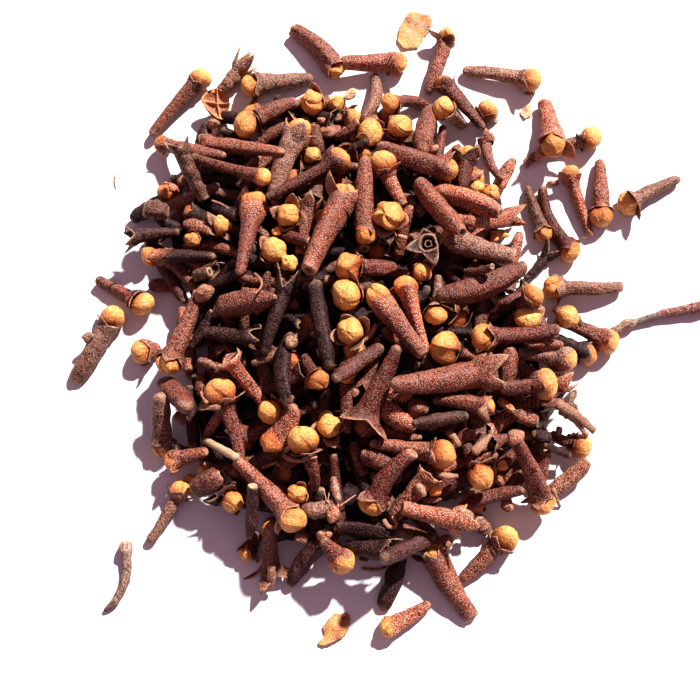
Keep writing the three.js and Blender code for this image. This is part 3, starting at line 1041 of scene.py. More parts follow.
@dataclass
class Mound:
    """The heap's own outline, taken from its CAD node, and the smaller core under the cloves."""

    node: bpy.types.Object
    step: float = 2.0  # of the grid that the heights are read on
    reach: float = 76.0  # how far the grid goes each way
    smoothings: int = 5
    core_depth: float = 9.0  # how far the core's top is under the heap's
    fill_share: float = 0.46  # how high the cloves out of sight may rise, over the heap's height
    fill_least: float = 5.0
    heights: Floats = field(init=False)

    def __post_init__(self) -> None:
        """Measures the node's height on a grid and smooths it."""
        mesh = self.node.data
        tree = BVHTree.FromPolygons([v.co[:] for v in mesh.vertices], [p.vertices[:] for p in mesh.polygons])
        count = int(2 * self.reach / self.step) + 1
        self.heights = np.zeros((count, count))
        down = Vector((0, 0, -1))
        for row in range(count):
            for column in range(count):
                start = Vector(((column * self.step - self.reach) * MM,
                                (row * self.step - self.reach) * MM, 0.1))
                hit = tree.ray_cast(start, down)[0]
                self.heights[row, column] = hit.z / MM if hit else 0.0
        for _ in range(self.smoothings):
            spread = np.pad(self.heights, 1, mode="edge")
            self.heights = (spread[:-2, 1:-1] + spread[2:, 1:-1] + spread[1:-1, :-2]
                            + spread[1:-1, 2:] + 4 * self.heights) / 8

    def height(self, places: Floats) -> Floats:
        """Gives the heap's height at each place.

        Args:
            places: The places, one row of x and y each.

        Returns:
            The heights.
        """
        grid = np.clip((places + self.reach) / self.step, 0, len(self.heights) - 1.001)
        cell = grid.astype(int)
        part = grid - cell
        column, row = cell[:, 0], cell[:, 1]
        across, along = part[:, 0], part[:, 1]
        low = self.heights[row, column] * (1 - across) + self.heights[row, column + 1] * across
        high = (self.heights[row + 1, column] * (1 - across) + self.heights[row + 1, column + 1] * across)
        return low * (1 - along) + high * along

    def core(self, places: Floats) -> Floats:
        """Gives the core's height at each place: thin rubble, and a mound under the middle."""
        heights = self.height(places)
        return np.maximum(heights - self.core_depth, np.clip((heights - 4.0) * 0.7, 0.0, 0.8))

    def ceiling(self, places: Floats) -> Floats:
        """Gives how high the cloves under the ones that show may rise at each place."""
        heights = self.height(places)
        return np.where(heights > 1.4, self.fill_least + self.fill_share * heights, 0.0)

    def build(self) -> list[Patch]:
        """Builds the core as a closed low mound with a lumpy top.

        Returns:
            Its one patch.
        """
        bearings = np.arange(96) / 96 * 2 * math.pi
        way = np.stack([np.cos(bearings), np.sin(bearings)], -1)
        edge = np.zeros(len(bearings))
        for out in np.arange(4.0, 60.0, 1.0):
            edge = np.where(self.core(way * out) > 0.4, out, edge)
        for _ in range(3):
            edge = (np.roll(edge, 1) + 2 * edge + np.roll(edge, -1)) / 4
        rng = np.random.default_rng(CORE_SEED)
        bumps = rng.uniform(0, 2 * math.pi, (14, 1, 1))
        turns = rng.uniform(-2.6, 2.6, (14, 2))
        rings = []
        for share in np.linspace(1.0, 0.03, 40):
            places = way * (edge * share)[:, None]
            relief = np.sin(turns[:, :1] * places[:, 0] + turns[:, 1:] * places[:, 1]
                            + bumps[:, :, 0]).sum(0) * 0.16
            rise = np.clip((1 - share) * 8, 0, 1)
            heights = np.maximum(self.core(places) + relief, 0.3) * rise
            rings.append(np.column_stack([places, heights]))
        top = np.array([0.0, 0.0, float(self.core(np.zeros((1, 2)))[0])])
        shape = lofted(np.array(rings), np.zeros(3), top)
        # The core's near-black colour is painted shade inside the heap.
        return [Patch(shape, shape[0], 0.0, linear("#24120F"), Finish.DUST)]


@dataclass
class Pile:
    """What has been laid down so far, as balls that the next piece comes to rest on."""

    mound: Mound
    centres: Floats = field(default_factory=lambda: np.zeros((0, 3)))
    radii: Floats = field(default_factory=lambda: np.zeros(0))
    nest: float = 0.93  # real skins give a little, so the balls count as a little smaller

    def add(self, centres: Floats, radii: Floats) -> None:
        """Lays down balls."""
        self.centres = np.vstack([self.centres, centres])
        self.radii = np.append(self.radii, radii * self.nest)

    def add_clove(self, clove: Clove) -> None:
        """Lays down a clove."""
        shares, radii = clove.balls()
        self.add(clove.tail + shares[:, None] * (clove.head - clove.tail), radii)

    def needed(self, places: Floats, radii: Floats) -> Floats:
        """Gives the lowest height at which each ball clears all that lies there.

        Args:
            places: Each ball's x and y.
            radii: The balls' radii.

        Returns:
            The height of each ball's middle.
        """
        radii = radii * self.nest
        heights = np.maximum(radii, self.mound.core(places) + 0.6 * radii)
        if len(self.radii):
            apart = ((places[:, None, :] - self.centres[None, :, :2]) ** 2).sum(-1)
            room = (radii[:, None] + self.radii[None, :]) ** 2 - apart
            lift = self.centres[None, :, 2] + np.sqrt(np.maximum(room, 0))
            heights = np.maximum(heights, np.where(room > 0, lift, 0).max(1))
        return heights


def resting_line(shares: Floats, heights: Floats, balance: float, length: float,
                 steepest: float = 0.75) -> tuple[float, float]:
    """Lays a straight piece down: on two supports, one on each side of its balance point.

    Args:
        shares: Where along the piece each height counts.
        heights: How high the piece has to be there.
        balance: The share of the length at which its weight acts.
        length: The piece's length in plan.
        steepest: How steep it may lie, as height over length.

    Returns:
        The height of its axis at the start and at the end.
    """
    best, slope = -1.0, 0.0
    for near in np.flatnonzero(shares <= balance):
        for far in np.flatnonzero(shares > balance):
            rise = (heights[far] - heights[near]) / (shares[far] - shares[near])
            level = heights[near] + rise * (balance - shares[near])
            if level > best:
                best, slope = float(level), float(rise)
    slope = float(np.clip(slope, -steepest * length, steepest * length))
    best = float((heights + slope * (balance - shares)).max())
    return best - slope * balance, best + slope * (1 - balance)


@dataclass(frozen=True)
class Spot:
    """Where a clove of the heap shows in the camera's frame, in pixels."""

    head: Pixel  # the middle of its bud, or of its calyx rim
    tail: Pixel
    layer: int = 1  # from the table up


@dataclass(frozen=True)
class Seen(Look, Spot):
    """One clove of the heap that shows."""

    upright: bool = False  # whether it stands head up, so that its shaft goes down out of sight
    dip: float = 0.0  # how far its head leans down and its tail up, in millimetres


@dataclass(frozen=True)
class Crumb:
    """A loose bit: a lump, a petal or a torn piece of calyx, in pixels of the camera's frame."""

    at: Pixel
    size: tuple[float, float]  # its length and width
    layer: int
    tone: Tone
    turn: float = 0.0  # the bearing of its length, in degrees anticlockwise from the right
    finish: Finish = Finish.SKIN

    def patch(self, place: Floats, seed: int) -> Patch:
        """Builds the bit as an uneven, slightly folded lump.

        Args:
            place: Its middle, in millimetres.
            seed: What its own shape is drawn from.

        Returns:
            Its patch.
        """
        rng = np.random.default_rng(seed)
        half = np.array([self.size[0], self.size[1], min(self.size) * 0.8]) / 2 / PIXELS_PER_MM
        polar = np.linspace(math.pi - 0.25, 0.25, 11)
        angles = np.arange(14) / 14 * 2 * math.pi
        uneven = 1 + Ripple.seeded(rng, 0.07, 0.05).at(polar / 5, angles)
        flat = np.sin(polar)[:, None] * uneven
        points = np.stack([flat * np.cos(angles), flat * np.sin(angles),
                           np.cos(polar)[:, None] * uneven], -1) * half
        ends = np.array([[0, 0, -0.96], [0, 0, 0.96]]) * half
        shape, quads, triangles = lofted(points, ends[0], ends[1])
        shape[:, 2] -= 0.25 * half[2] * (shape[:, 1] / half[1]) ** 2 * rng.uniform(-1, 1)
        turn = math.radians(self.turn)
        spin = np.array([[math.cos(turn), math.sin(turn), 0],
                         [-math.sin(turn), math.cos(turn), 0], [0, 0, 1]])
        tilt = rng.normal(0, 0.15, 2)
        placed = shape @ spin
        placed[:, 2] += placed[:, :2] @ tilt
        skin = self.finish is Finish.SKIN
        tint = linear(self.tone.value) if skin else np.array([1.0, 0.9, 0.8, 1.0])
        tint[:3] *= rng.uniform(0.85, 1.2)
        return Patch((placed + place, quads, triangles), shape + rng.uniform(0, 300, 3),
                     0.25 if skin else 0.0, tint, self.finish)


@dataclass(frozen=True)
class Strand:
    """A thin stiff piece, such as a fibre, a curled edge of husk or a straw."""

    path: tuple[Pixel, ...]
    thick: tuple[float, float] = (2.0, 1.5)  # in pixels, at its start and at its end
    tone: Tone = Tone.TAN
    lift: float = 0.0  # how far over what it rests on it lies, in millimetres
    flat: float = 0.8  # its thickness over its width
    finish: Finish = Finish.SKIN
    sides: int = 7

    def patch(self, pile: Pile, sight: Sight, seed: int) -> Patch:
        """Builds the strand on top of what lies under it.

        Args:
            pile: What has been laid down.
            sight: The way from pixels to places.
            seed: What its own shape is drawn from.

        Returns:
            Its patch.
        """
        rng = np.random.default_rng(seed)
        knots = np.array(self.path, float)
        legs = distances(knots)
        count = max(6, int(legs[-1] / 4))
        along = np.linspace(0, legs[-1], count)
        pixels = read_along(knots, legs, along, 2)
        shares = along / legs[-1]
        radii = np.interp(shares, [0, 1], self.thick) / 2 / PIXELS_PER_MM
        heights = np.full(count, 3.0)
        for _ in range(SETTLING_ROUNDS):
            places = np.array([sight.point(tuple(p), h) for p, h in zip(pixels, heights)])
            need = pile.needed(places[:, :2], radii)
            low, high = resting_line(shares, need, 0.5, legs[-1] / PIXELS_PER_MM)
            heights = low + (high - low) * shares + self.lift
        places[:, 2] = heights + np.sin(shares * math.pi) * radii.mean() * rng.uniform(0, 1)
        angles = np.arange(self.sides) / self.sides * 2 * math.pi
        uneven = radii[:, None] * (1 + rng.uniform(-0.14, 0.14, (count, 1)))
        rings, forward = tube(places, uneven, uneven * self.flat, angles)
        shape = lofted(rings, places[0] - forward[0] * radii[0] * 0.5,
                       places[-1] + forward[-1] * radii[-1] * 0.5)
        grain = tube_grain(angles, radii, along / PIXELS_PER_MM) + rng.uniform(0, 300, 3)
        return Patch(shape, grain, 0.35, linear(self.tone.value), self.finish)


# What lies where. Every pair of numbers is a pixel of the 700 by 700 frame.

_R, _B, _O, _K, _G, _D, _T = Tone
_H, _W = Top.OPEN, Top.WORN  # hollow and worn

# On some cloves below, the light and the tone are painted light or painted shade as well as the clove's own
# colour: a light far over 1 lifts a clove out of the shade that falls on it.
SEEN_CLOVES: tuple[Seen, ...] = (
    # The back of the heap, where only one or two layers lie on the bare table.
    Seen((241, 68), (217, 99), 1, 16, 0, _G, _H, reach=1.9, splay=24, dip=-0.8),
    Seen((252, 85), (312, 78), 2, 20, 12.5, _G), Seen((336, 70), (293, 28), 1, 22, 10, _R, broken=True),
    Seen((397, 62), (343, 62), 1, 18, 11.5, _B), Seen((364, 118), (374, 73), 0, 13, 0, _G, _W),
    Seen((390, 103), (430, 106), 1, 14, 10.5, _K),
    Seen((400, 126), (408, 142), 1, 14, 12.5, _R, upright=True),
    Seen((422, 152), (430, 110), 1, 22, 0, _R, _W), Seen((443, 108), (462, 126), 2, 16, 12, _G, upright=True),
    Seen((444, 83), (484, 128), 3, 17, 9.5, _K, flare=1.2, reach=1.2, light=0.85),
    Seen((488, 111), (482, 122), 2, 14, 11.5, _R, upright=True),
    Seen((246, 125), (296, 100), 2, 17, 13.5, _R, reach=0.8, seat=0.85),
    Seen((312, 102), (332, 108), 1, 16, 12, _R, upright=True),
    Seen((336, 104), (350, 116), 1, 12, 9, _R, upright=True),
    Seen((336, 138), (358, 121), 3, 11, 0, _R, _W, True),
    Seen((298, 131), (272, 195), 2, 25, 12.5, _G, reach=1.2),
    Seen((312, 155), (326, 172), 1, 14, 9, _K, upright=True), Seen((338, 160), (268, 199), 3, 16, 13.5, _K),
    Seen((370, 132), (374, 114), 2, 15, 13, _R, upright=True), Seen((348, 152), (367, 140), 4, 10, 0, _D, _W),
    Seen((466, 156), (462, 198), 1, 17, 11.5, _K), Seen((486, 140), (503, 180), 1, 14, 0, _R, _H),
    Seen((513, 160), (499, 190), 0, 14, 0, _B, _W), Seen((477, 188), (468, 176), 1, 12, 8, _R, upright=True),
    Seen((491, 193), (500, 204), 1, 12, 8.5, _R, upright=True),
    Seen((448, 170), (378, 146), 2, 21, 11, _R, flare=1.25),
    # The left of the heap, from the back to the front.
    Seen((162, 144), (222, 161), 1, 14, 9, _R, light=0.85),
    Seen((180, 148), (204, 199), 3, 15, 0, _G, _H, True, reach=1.3, light=0.8),
    Seen((206, 144), (283, 153), 3, 17, 0, _R, _H, reach=1.3), Seen((262, 177), (192, 158), 2, 12, 9, _R),
    Seen((168, 213), (145, 208), 1, 20, 0, _G, _W, light=0.8),
    Seen((221, 225), (214, 246), 2, 15, 8.5, _K, upright=True),
    Seen((254, 203), (243, 274), 3, 17, 13.5, _K, club=True, light=1.05),
    Seen((288, 215), (300, 227), 2, 16, 11.5, _R, upright=True),
    Seen((274, 250), (266, 266), 3, 16, 12.5, _R, upright=True),
    Seen((283, 236), (310, 240), 1, 12, 0, _K, _W), Seen((268, 272), (265, 300), 2, 9, 0, _K, _W),
    Seen((286, 290), (263, 353), 2, 17, 0, _D, _H, reach=1.7), Seen((245, 270), (206, 288), 1, 11, 0, _D, _W),
    Seen((276, 297), (218, 307), 3, 25, 0, _R, _W, flare=0.16),
    Seen((192, 347), (214, 312), 2, 15, 0, _D, _W, True),
    Seen((250, 338), (205, 333), 2, 16, 0, _D, _H, reach=1.2), Seen((215, 367), (199, 361), 1, 9, 0, _G, _W),
    Seen((230, 360), (267, 403), 2, 15, 0, _O, _H, flare=1.6, reach=0.35, splay=12, dip=-2.5),
    Seen((200, 395), (202, 374), 1, 12, 0, _O, _W, light=0.7), Seen((163, 381), (190, 407), 1, 22, 0, _K, _W),
    Seen((150, 257), (214, 257), 2, 18, 9.5, _D, club=True, light=1.1),
    Seen((134, 237), (179, 231), 1, 14, 0, _D, _H, reach=1.3, light=1.5),
    Seen((192, 240), (207, 226), 2, 13, 8, _K, upright=True, light=0.85),
    Seen((194, 276), (210, 272), 1, 13, 0, _G, _W, light=0.6), Seen((141, 352), (160, 350), 1, 16, 12.5, _R),
    Seen((169, 362), (199, 292), 2, 19, 12, _R), Seen((162, 447), (160, 394), 1, 20, 9.5, _G, flare=1.3),
    Seen((173, 460), (208, 452), 2, 15, 9.5, _R),
    Seen((220, 392), (246, 457), 3, 15, 15.5, _K, reach=0.8, seat=0.7),
    Seen((271, 412), (293, 396), 2, 13, 12.5, _R, seat=0.7, reach=0.6),
    Seen((273, 442), (297, 408), 3, 20, 12, _B, club=True),
    Seen((303, 440), (318, 488), 3, 13, 14.5, _K, reach=0.6, seat=0.85),
    Seen((292, 519), (240, 459), 3, 20, 13, _R, reach=0.8, seat=0.6),
    Seen((222, 475), (196, 490), 2, 23, 0, _R, _W, light=0.6),
    Seen((233, 502), (233, 486), 1, 16, 10.5, _K, upright=True, flare=1.4, reach=1.5, light=0.82),
    Seen((249, 537), (252, 485), 3, 13, 0, _D, _W, True, light=1.8),
    Seen((247, 553), (258, 534), 0, 14, 8, _K),
    Seen((272, 571), (267, 522), 2, 18, 0, _R, _H, reach=2.1, splay=62),
    Seen((290, 584), (325, 540), 1, 16, 0, _D, _W, light=2.0),
    Seen((342, 561), (322, 541), 3, 19, 12.5, _K, club=True, light=1.05),
    Seen((396, 536), (338, 527), 0, 18, 0, _D, _W), Seen((385, 551), (346, 545), 0, 17, 0, _D, _H),
    Seen((297, 494), (302, 480), 1, 15, 9, _B, upright=True, reach=1.4),
    Seen((303, 510), (338, 502), 2, 17, 0, _G, _W, True), Seen((338, 500), (333, 478), 2, 9, 0, _G, _W),
    # The middle of the heap, the highest part.
    Seen((383, 163), (403, 205), 2, 15, 13.5, _B, reach=0.6, seat=0.7),
    Seen((389, 215), (391, 232), 2, 18, 15, _R, upright=True, reach=0.6),
    Seen((365, 235), (366, 157), 2, 17, 10, _R, reach=1.3),
    Seen((345, 196), (306, 272), 2, 29, 13, _R, reach=1.2),
    Seen((348, 267), (395, 268), 3, 18, 13.5, _K, seat=0.8, reach=0.5),
    Seen((346, 295), (371, 283), 3, 18, 15, _R, upright=True),
    Seen((350, 331), (366, 337), 2, 18, 13, _K, upright=True, reach=1.3),
    Seen((354, 350), (366, 346), 1, 14, 10, _K, upright=True),
    Seen((406, 287), (425, 349), 2, 17, 12, _O, club=True),
    Seen((379, 298), (424, 354), 3, 22, 13, _R, club=True), Seen((436, 315), (438, 276), 2, 12, 11, _G),
    Seen((452, 309), (468, 299), 3, 13, 0, _K, _H, reach=1.4), Seen((462, 232), (418, 189), 4, 20, 0, _R, _W),
    Seen((500, 213), (433, 191), 3, 21, 0, _B, _W), Seen((510, 217), (454, 222), 2, 16, 0, _O, _H, reach=1.2),
    Seen((428, 243), (431, 258), 4, 17, 0, _D, _H, upright=True, flare=1.2, reach=1.5, splay=74,
         light=2.6, dip=-3.0),
    Seen((422, 272), (428, 262), 1, 14, 9, _O, upright=True), Seen((449, 237), (513, 259), 2, 24, 10, _G),
    Seen((520, 233), (513, 263), 1, 14, 0, _B, _W), Seen((524, 267), (440, 297), 3, 24, 0, _R, _W),
    Seen((548, 255), (528, 280), 3, 11, 0, _D, _H, reach=1.7, splay=34),
    Seen((465, 271), (492, 268), 3, 9, 0, _K, _W), Seen((530, 297), (497, 303), 0, 15, 12, _K),
    Seen((528, 317), (531, 329), 2, 14, 13, _R, upright=True, reach=0.5),
    Seen((568, 317), (556, 309), 1, 14, 11, _R, upright=True, reach=0.6),
    Seen((533, 296), (517, 306), 0, 13, 11, _R, reach=0.6, light=0.8),
    Seen((508, 268), (478, 256), 0, 15, 0, _D, _W),
    Seen((445, 348), (485, 361), 3, 13, 15, _K, reach=0.5, seat=0.8),
    Seen((483, 337), (558, 330), 2, 17, 13, _K, reach=1.2), Seen((528, 345), (562, 345), 3, 11, 0, _R, _W),
    Seen((566, 360), (518, 354), 2, 14, 12, _G), Seen((511, 348), (508, 386), 3, 17, 0, _R, _W),
    Seen((545, 384), (502, 387), 3, 16, 14, _K, reach=0.7, seat=0.6),
    Seen((562, 383), (545, 400), 1, 16, 0, _B, _H), Seen((576, 391), (562, 403), 1, 8, 0, _G, _W),
    Seen((364, 418), (397, 346), 4, 22, 0, _K, _H, flare=1.3, reach=1.7, splay=80, dip=1.5),
    Seen((335, 379), (382, 349), 3, 17, 0, _K, _W, light=0.7),
    Seen((345, 373), (362, 362), 2, 14, 10, _R, upright=True),
    Seen((484, 372), (391, 386), 4, 26, 0, _R, _H, reach=1.2),
    Seen((329, 367), (314, 285), 3, 19, 0, _D, _W, True), Seen((288, 403), (290, 335), 3, 16, 0, _D, _W),
    Seen((318, 379), (303, 357), 2, 15, 11.5, _K, reach=0.5, light=0.8),
    # The front and the right of the heap.
    Seen((413, 429), (380, 403), 3, 21, 0, _B, _W), Seen((426, 411), (410, 404), 3, 17, 0, _R, _W),
    Seen((414, 424), (466, 414), 3, 15, 0, _G, _W, True, light=0.45),
    Seen((411, 394), (396, 400), 3, 9, 0, _O, _W), Seen((487, 407), (434, 400), 2, 17, 9, _R, reach=1.3),
    Seen((442, 455), (371, 441), 3, 17, 14, _R, reach=0.7, seat=0.75),
    Seen((481, 477), (466, 446), 3, 17, 12, _K, reach=0.6, seat=0.8),
    Seen((363, 454), (393, 466), 2, 19, 0, _R, _W), Seen((313, 390), (315, 407), 1, 8, 0, _D, _W),
    Seen((329, 426), (319, 440), 2, 14, 11.5, _K, upright=True),
    Seen((372, 504), (413, 453), 3, 22, 13, _K, light=1.1),
    Seen((429, 474), (393, 517), 3, 19, 0, _B, _H, reach=1.2),
    Seen((459, 521), (402, 509), 3, 21, 0, _B, _H, reach=1.5), Seen((460, 507), (523, 486), 2, 16, 0, _K, _W),
    Seen((476, 517), (487, 531), 1, 15, 0, _G, _W), Seen((432, 537), (379, 557), 4, 17, 0, _D, _W, light=2.3),
    Seen((402, 553), (382, 609), 0, 18, 0, _D, _W),
    Seen((433, 554), (470, 619), 1, 22, 9, _R, broken=True, flare=1.2, reach=1.4),
    Seen((514, 411), (499, 401), 3, 8, 0, _B, _W), Seen((515, 413), (536, 421), 2, 18, 0, _R, _W),
    Seen((542, 403), (573, 406), 2, 12, 0, _R, _W),
    Seen((581, 446), (552, 433), 2, 14, 12, _K, reach=0.5, seat=0.8),
    Seen((533, 434), (550, 439), 1, 13, 0, _D, _W),
    Seen((543, 504), (518, 438), 3, 21, 11.5, _R, reach=0.6, seat=0.6),
    Seen((588, 461), (551, 492), 2, 18, 0, _T, _W, light=1.15), Seen((545, 445), (569, 455), 1, 8, 0, _D, _W),
)

# The bare table that shows through the heap: the middle of each patch and its radius.
BARE_PATCHES: tuple[tuple[Pixel, float], ...] = (
    ((347, 98), 9), ((243, 98), 4), ((414, 174), 4), ((413, 129), 4), ((175, 246), 7),
    ((149, 229), 5), ((540, 287), 7), ((545, 175), 6), ((288, 552), 8),
    ((507, 206), 4), ((529, 251), 5), ((553, 474), 5), ((485, 518), 7), ((460, 536), 5),
)

CRUMBS: tuple[Crumb, ...] = (
    Crumb((305, 113), (10, 8), 2, _R), Crumb((338, 118), (10, 8), 2, _K, 20),
    Crumb((322, 120), (9, 7), 2, _T), Crumb((328, 132), (18, 14), 2, _R),
    Crumb((478, 175), (14, 6), 2, _T, 30), Crumb((213, 124), (14, 10), 2, _R),
    Crumb((187, 190), (14, 10), 1, _R, 40), Crumb((254, 161), (18, 7), 2, _R, 35),
    Crumb((277, 231), (10, 9), 3, _T, 0, Finish.PETAL),
    Crumb((289, 263), (16, 18), 3, _O, 60, Finish.PETAL), Crumb((246, 291), (12, 11), 2, _D),
    Crumb((220, 325), (9, 7), 2, _K), Crumb((276, 358), (7, 6), 2, _O, 0, Finish.PETAL),
    Crumb((204, 293), (19, 16), 3, _R, 20), Crumb((88, 337), (13, 10), 0, _G, 30),
    Crumb((500, 231), (20, 8), 2, _O, -10, Finish.PETAL), Crumb((494, 239), (9, 7), 2, _O, 0, Finish.PETAL),
    Crumb((458, 255), (20, 6), 2, _D, -10), Crumb((365, 284), (16, 14), 2, _D),
    Crumb((291, 342), (12, 14), 4, _G), Crumb((553, 183), (12, 6), 0, _T, -10),
    Crumb((181, 418), (14, 11), 1, _K, -50), Crumb((190, 479), (15, 9), 1, _O, 0, Finish.PETAL),
    Crumb((302, 538), (13, 11), 2, _R), Crumb((324, 535), (14, 11), 2, _O, -10),
    Crumb((333, 514), (12, 17), 2, _O, -20), Crumb((347, 394), (10, 5), 2, _R),
    Crumb((355, 393), (9, 8), 2, _R, 60), Crumb((455, 427), (11, 6), 2, _D, 30),
    Crumb((492, 457), (13, 10), 3, _R, 60), Crumb((503, 466), (11, 11), 3, _O, 0, Finish.PETAL),
    Crumb((500, 480), (13, 10), 3, _O, -50), Crumb((495, 470), (7, 13), 3, _T),
    Crumb((376, 475), (8, 5), 2, _K, -40), Crumb((420, 490), (14, 9), 3, _G, -40),
    Crumb((435, 491), (12, 11), 3, _O, 0, Finish.PETAL), Crumb((431, 500), (19, 6), 3, _R),
    Crumb((507, 505), (11, 13), 2, _O, 20), Crumb((466, 515), (17, 12), 2, _G, -10),
    Crumb((473, 525), (10, 12), 2, _T, 20), Crumb((474, 491), (12, 7), 2, _G, 10),
    Crumb((421, 547), (9, 7), 1, _T, 30), Crumb((424, 554), (7, 8), 1, _G),
    Crumb((447, 541), (12, 13), 2, _O, 30), Crumb((545, 416), (9, 7), 2, _R, -30),
    Crumb((559, 431), (7, 9), 3, _O), Crumb((516, 437), (19, 15), 3, _O, 30),
    Crumb((503, 449), (9, 5), 1, _K, -20), Crumb((498, 308), (12, 6), 2, _R, 20),
    Crumb((351, 384), (5, 4), 2, _T),
)

STRANDS: tuple[Strand, ...] = (
    Strand(((165, 204), (176, 192), (189, 183)), (1.6, 1.2)),
    Strand(((212, 201), (221, 204), (229, 209)), (2.4, 1.6), _O),
    Strand(((356, 138), (360, 131), (368, 134), (371, 146)), (2, 1.4), _R),
    Strand(((375, 255), (384, 254), (392, 257)), (1.6, 1.2)),
    Strand(((255, 275), (262, 280), (264, 288), (255, 295)), (3, 2), _K),
    Strand(((284, 456), (290, 461), (303, 461), (317, 457)), (5, 2.2), _T),
    Strand(((262, 468), (270, 465), (277, 462)), (3, 2.4), _R),
    Strand(((340, 506), (351, 498), (362, 491)), (1.7, 1.2)),
    Strand(((330, 491), (327, 500), (331, 509)), (1.4, 1), _G),
    Strand(((324, 490), (326, 502), (334, 508)), (1.4, 1), _G),
    Strand(((258, 564), (264, 559)), (2.4, 1.6)),
    Strand(((384, 520), (386, 528), (397, 529), (397, 520), (392, 517)), (5, 3), _O),
    Strand(((363, 565), (376, 567), (388, 562)), (4, 2.6), _O),
    Strand(((553, 489), (556, 498), (560, 507)), (5, 3), _G),
    Strand(((474, 452), (484, 443), (493, 432)), (12, 4), _K, 0.6, 0.6),
    Strand(((448, 432), (455, 438), (459, 446)), (9, 6), _K, 0.4, 0.6),
    Strand(((115, 175), (114, 182), (116, 189)), (1.4, 1), _G),
    Strand(((201, 406), (210, 407), (219, 407)), (6, 6), _R),
    Strand(((326, 440), (334, 441), (341, 444)), (7, 4), _R),
    Strand(((440, 474), (447, 477), (457, 476)), (8, 5), _R, 0.3),
    Strand(((207, 403), (203, 397), (201, 392)), (5, 3), _R),
    Strand(((480, 410), (486, 417), (488, 422)), (10, 6), _K, 0.2, 0.7),
    Strand(((376, 325), (372, 334), (363, 341)), (5, 4), _O, 0.4),
    Strand(((558, 404), (577, 416), (594, 431)), (11, 8), _K, 0.4, 0.5),
    Strand(((560, 411), (574, 419), (587, 436)), (7, 5), _R, 0.3, 0.6),
    Strand(((573, 394), (568, 405), (566, 418)), (8, 5), _D, 0.3),
    Strand(((271, 566), (272, 578), (270, 588)), (9, 7), _R, 0.2),
)
STRAW = Strand(((206, 441), (220, 449), (237, 458)), (8, 8), _T, 0.1, 0.9, Finish.STRAW)


@dataclass(frozen=True)
class Loose(Look):
    """How a clove that lies apart looks; where it lies comes from its CAD node."""

    shift: tuple[float, float] = (0.0, 0.0)  # how far it lies from its node, in millimetres


LOOSE_LOOKS: dict[str, Loose] = {
    "clove_back_left": Loose(16, 11.5, _R, seat=0.7, reach=0.7),
    "clove_back": Loose(17, 9.5, _R, reach=0.5, seat=0.4),
    "clove_back_right": Loose(15, 12.5, _G, reach=1.3, seat=0.6, straight=True),
    "clove_right_leaning": Loose(22, 12.5, _B, reach=0.8),
    "clove_right_under": Loose(13, 12.5, _G, reach=0.8, seat=0.85),
    "clove_right_slim": Loose(14, 10, _O, reach=0.9),
    "clove_right_short": Loose(17, 8.5, _G),
    "clove_right_grey": Loose(17, 11, _K),
    "clove_right_upright": Loose(18, 12, _R, reach=0.7, seat=0.7),
    "clove_far_right": Loose(17, 12, _G, reach=0.9, seat=0.3),
    "clove_right_dark": Loose(15, 12, _G, reach=1.1),
    "clove_right_edge": Loose(16, 12.5, _R, reach=1.0),
    "clove_left_upper": Loose(16, 12.5, _R, reach=0.8, seat=0.75),
    "clove_left_lower": Loose(20, 12.5, _G, reach=0.8, seat=0.7),
    "clove_front_left": Loose(13, 10.5, _G, seat=0.4, reach=0.8, straight=True, shift=(2.9, -0.3)),
    "clove_front_right": Loose(18, 13.5, _R, reach=0.9, seat=0.7),
    "shaft_left": Loose(15, 0, _R, _W),
    "shaft_front": Loose(15, 9.5, _B, club=True),
}


# Sub-assemblies


@dataclass
class LooseCloves:
    """The cloves that lie apart from the heap, each where its CAD node is."""

    materials: Materials

    def clove(self, name: str, look: Loose, seed: int) -> Clove:
        """Reads where a clove lies from its node: its two ends are the node's farthest corners.

        Args:
            name: The node's name.
            look: How the clove looks.
            seed: What its own shape is drawn from.

        Returns:
            The clove.
        """
        corners = np.array([v.co[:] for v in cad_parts[name].data.vertices]) / MM
        apart = np.linalg.norm(corners[:, None] - corners[None, :], axis=-1)
        first, second = np.unravel_index(int(apart.argmax()), apart.shape)
        ends = [corners[first], corners[second]]
        along = (ends[1] - ends[0]) / np.linalg.norm(ends[1] - ends[0])
        spans = []
        for end, way in ((ends[0], along), (ends[1], -along)):
            near = corners[(corners - end) @ way < 5.0]
            off = (near - end) - ((near - end) @ way)[:, None] * way
            spans.append(np.linalg.norm(off, axis=1).max())
        # The head is the thicker end.
        tail, head = (ends[0], ends[1]) if spans[1] > spans[0] else (ends[1], ends[0])
        way = (head - tail) / np.linalg.norm(head - tail)
        clove = Clove(tail, head, look, seed)
        if look.top is Top.BUD:
            head -= way * clove.bud
            head[2] = max(head[2], clove.bud * 0.97)
        tail[2] = max(tail[2], clove.radius * 0.6)
        for end in (tail, head):
            end[:2] += look.shift
        return clove

    def build(self, pile: Pile) -> None:
        """Builds each clove, and tells the pile where it lies.

        Args:
            pile: What has been laid down.
        """
        for seed, (name, look) in enumerate(LOOSE_LOOKS.items(), LOOSE_SEED):
            clove = self.clove(name, look, seed)
            piece = Piece(f"loose_{name}", "clove", (name,))
            for patches in clove.patches().values():
                piece.patches += patches
            piece.build(self.materials)
            pile.add_clove(clove)


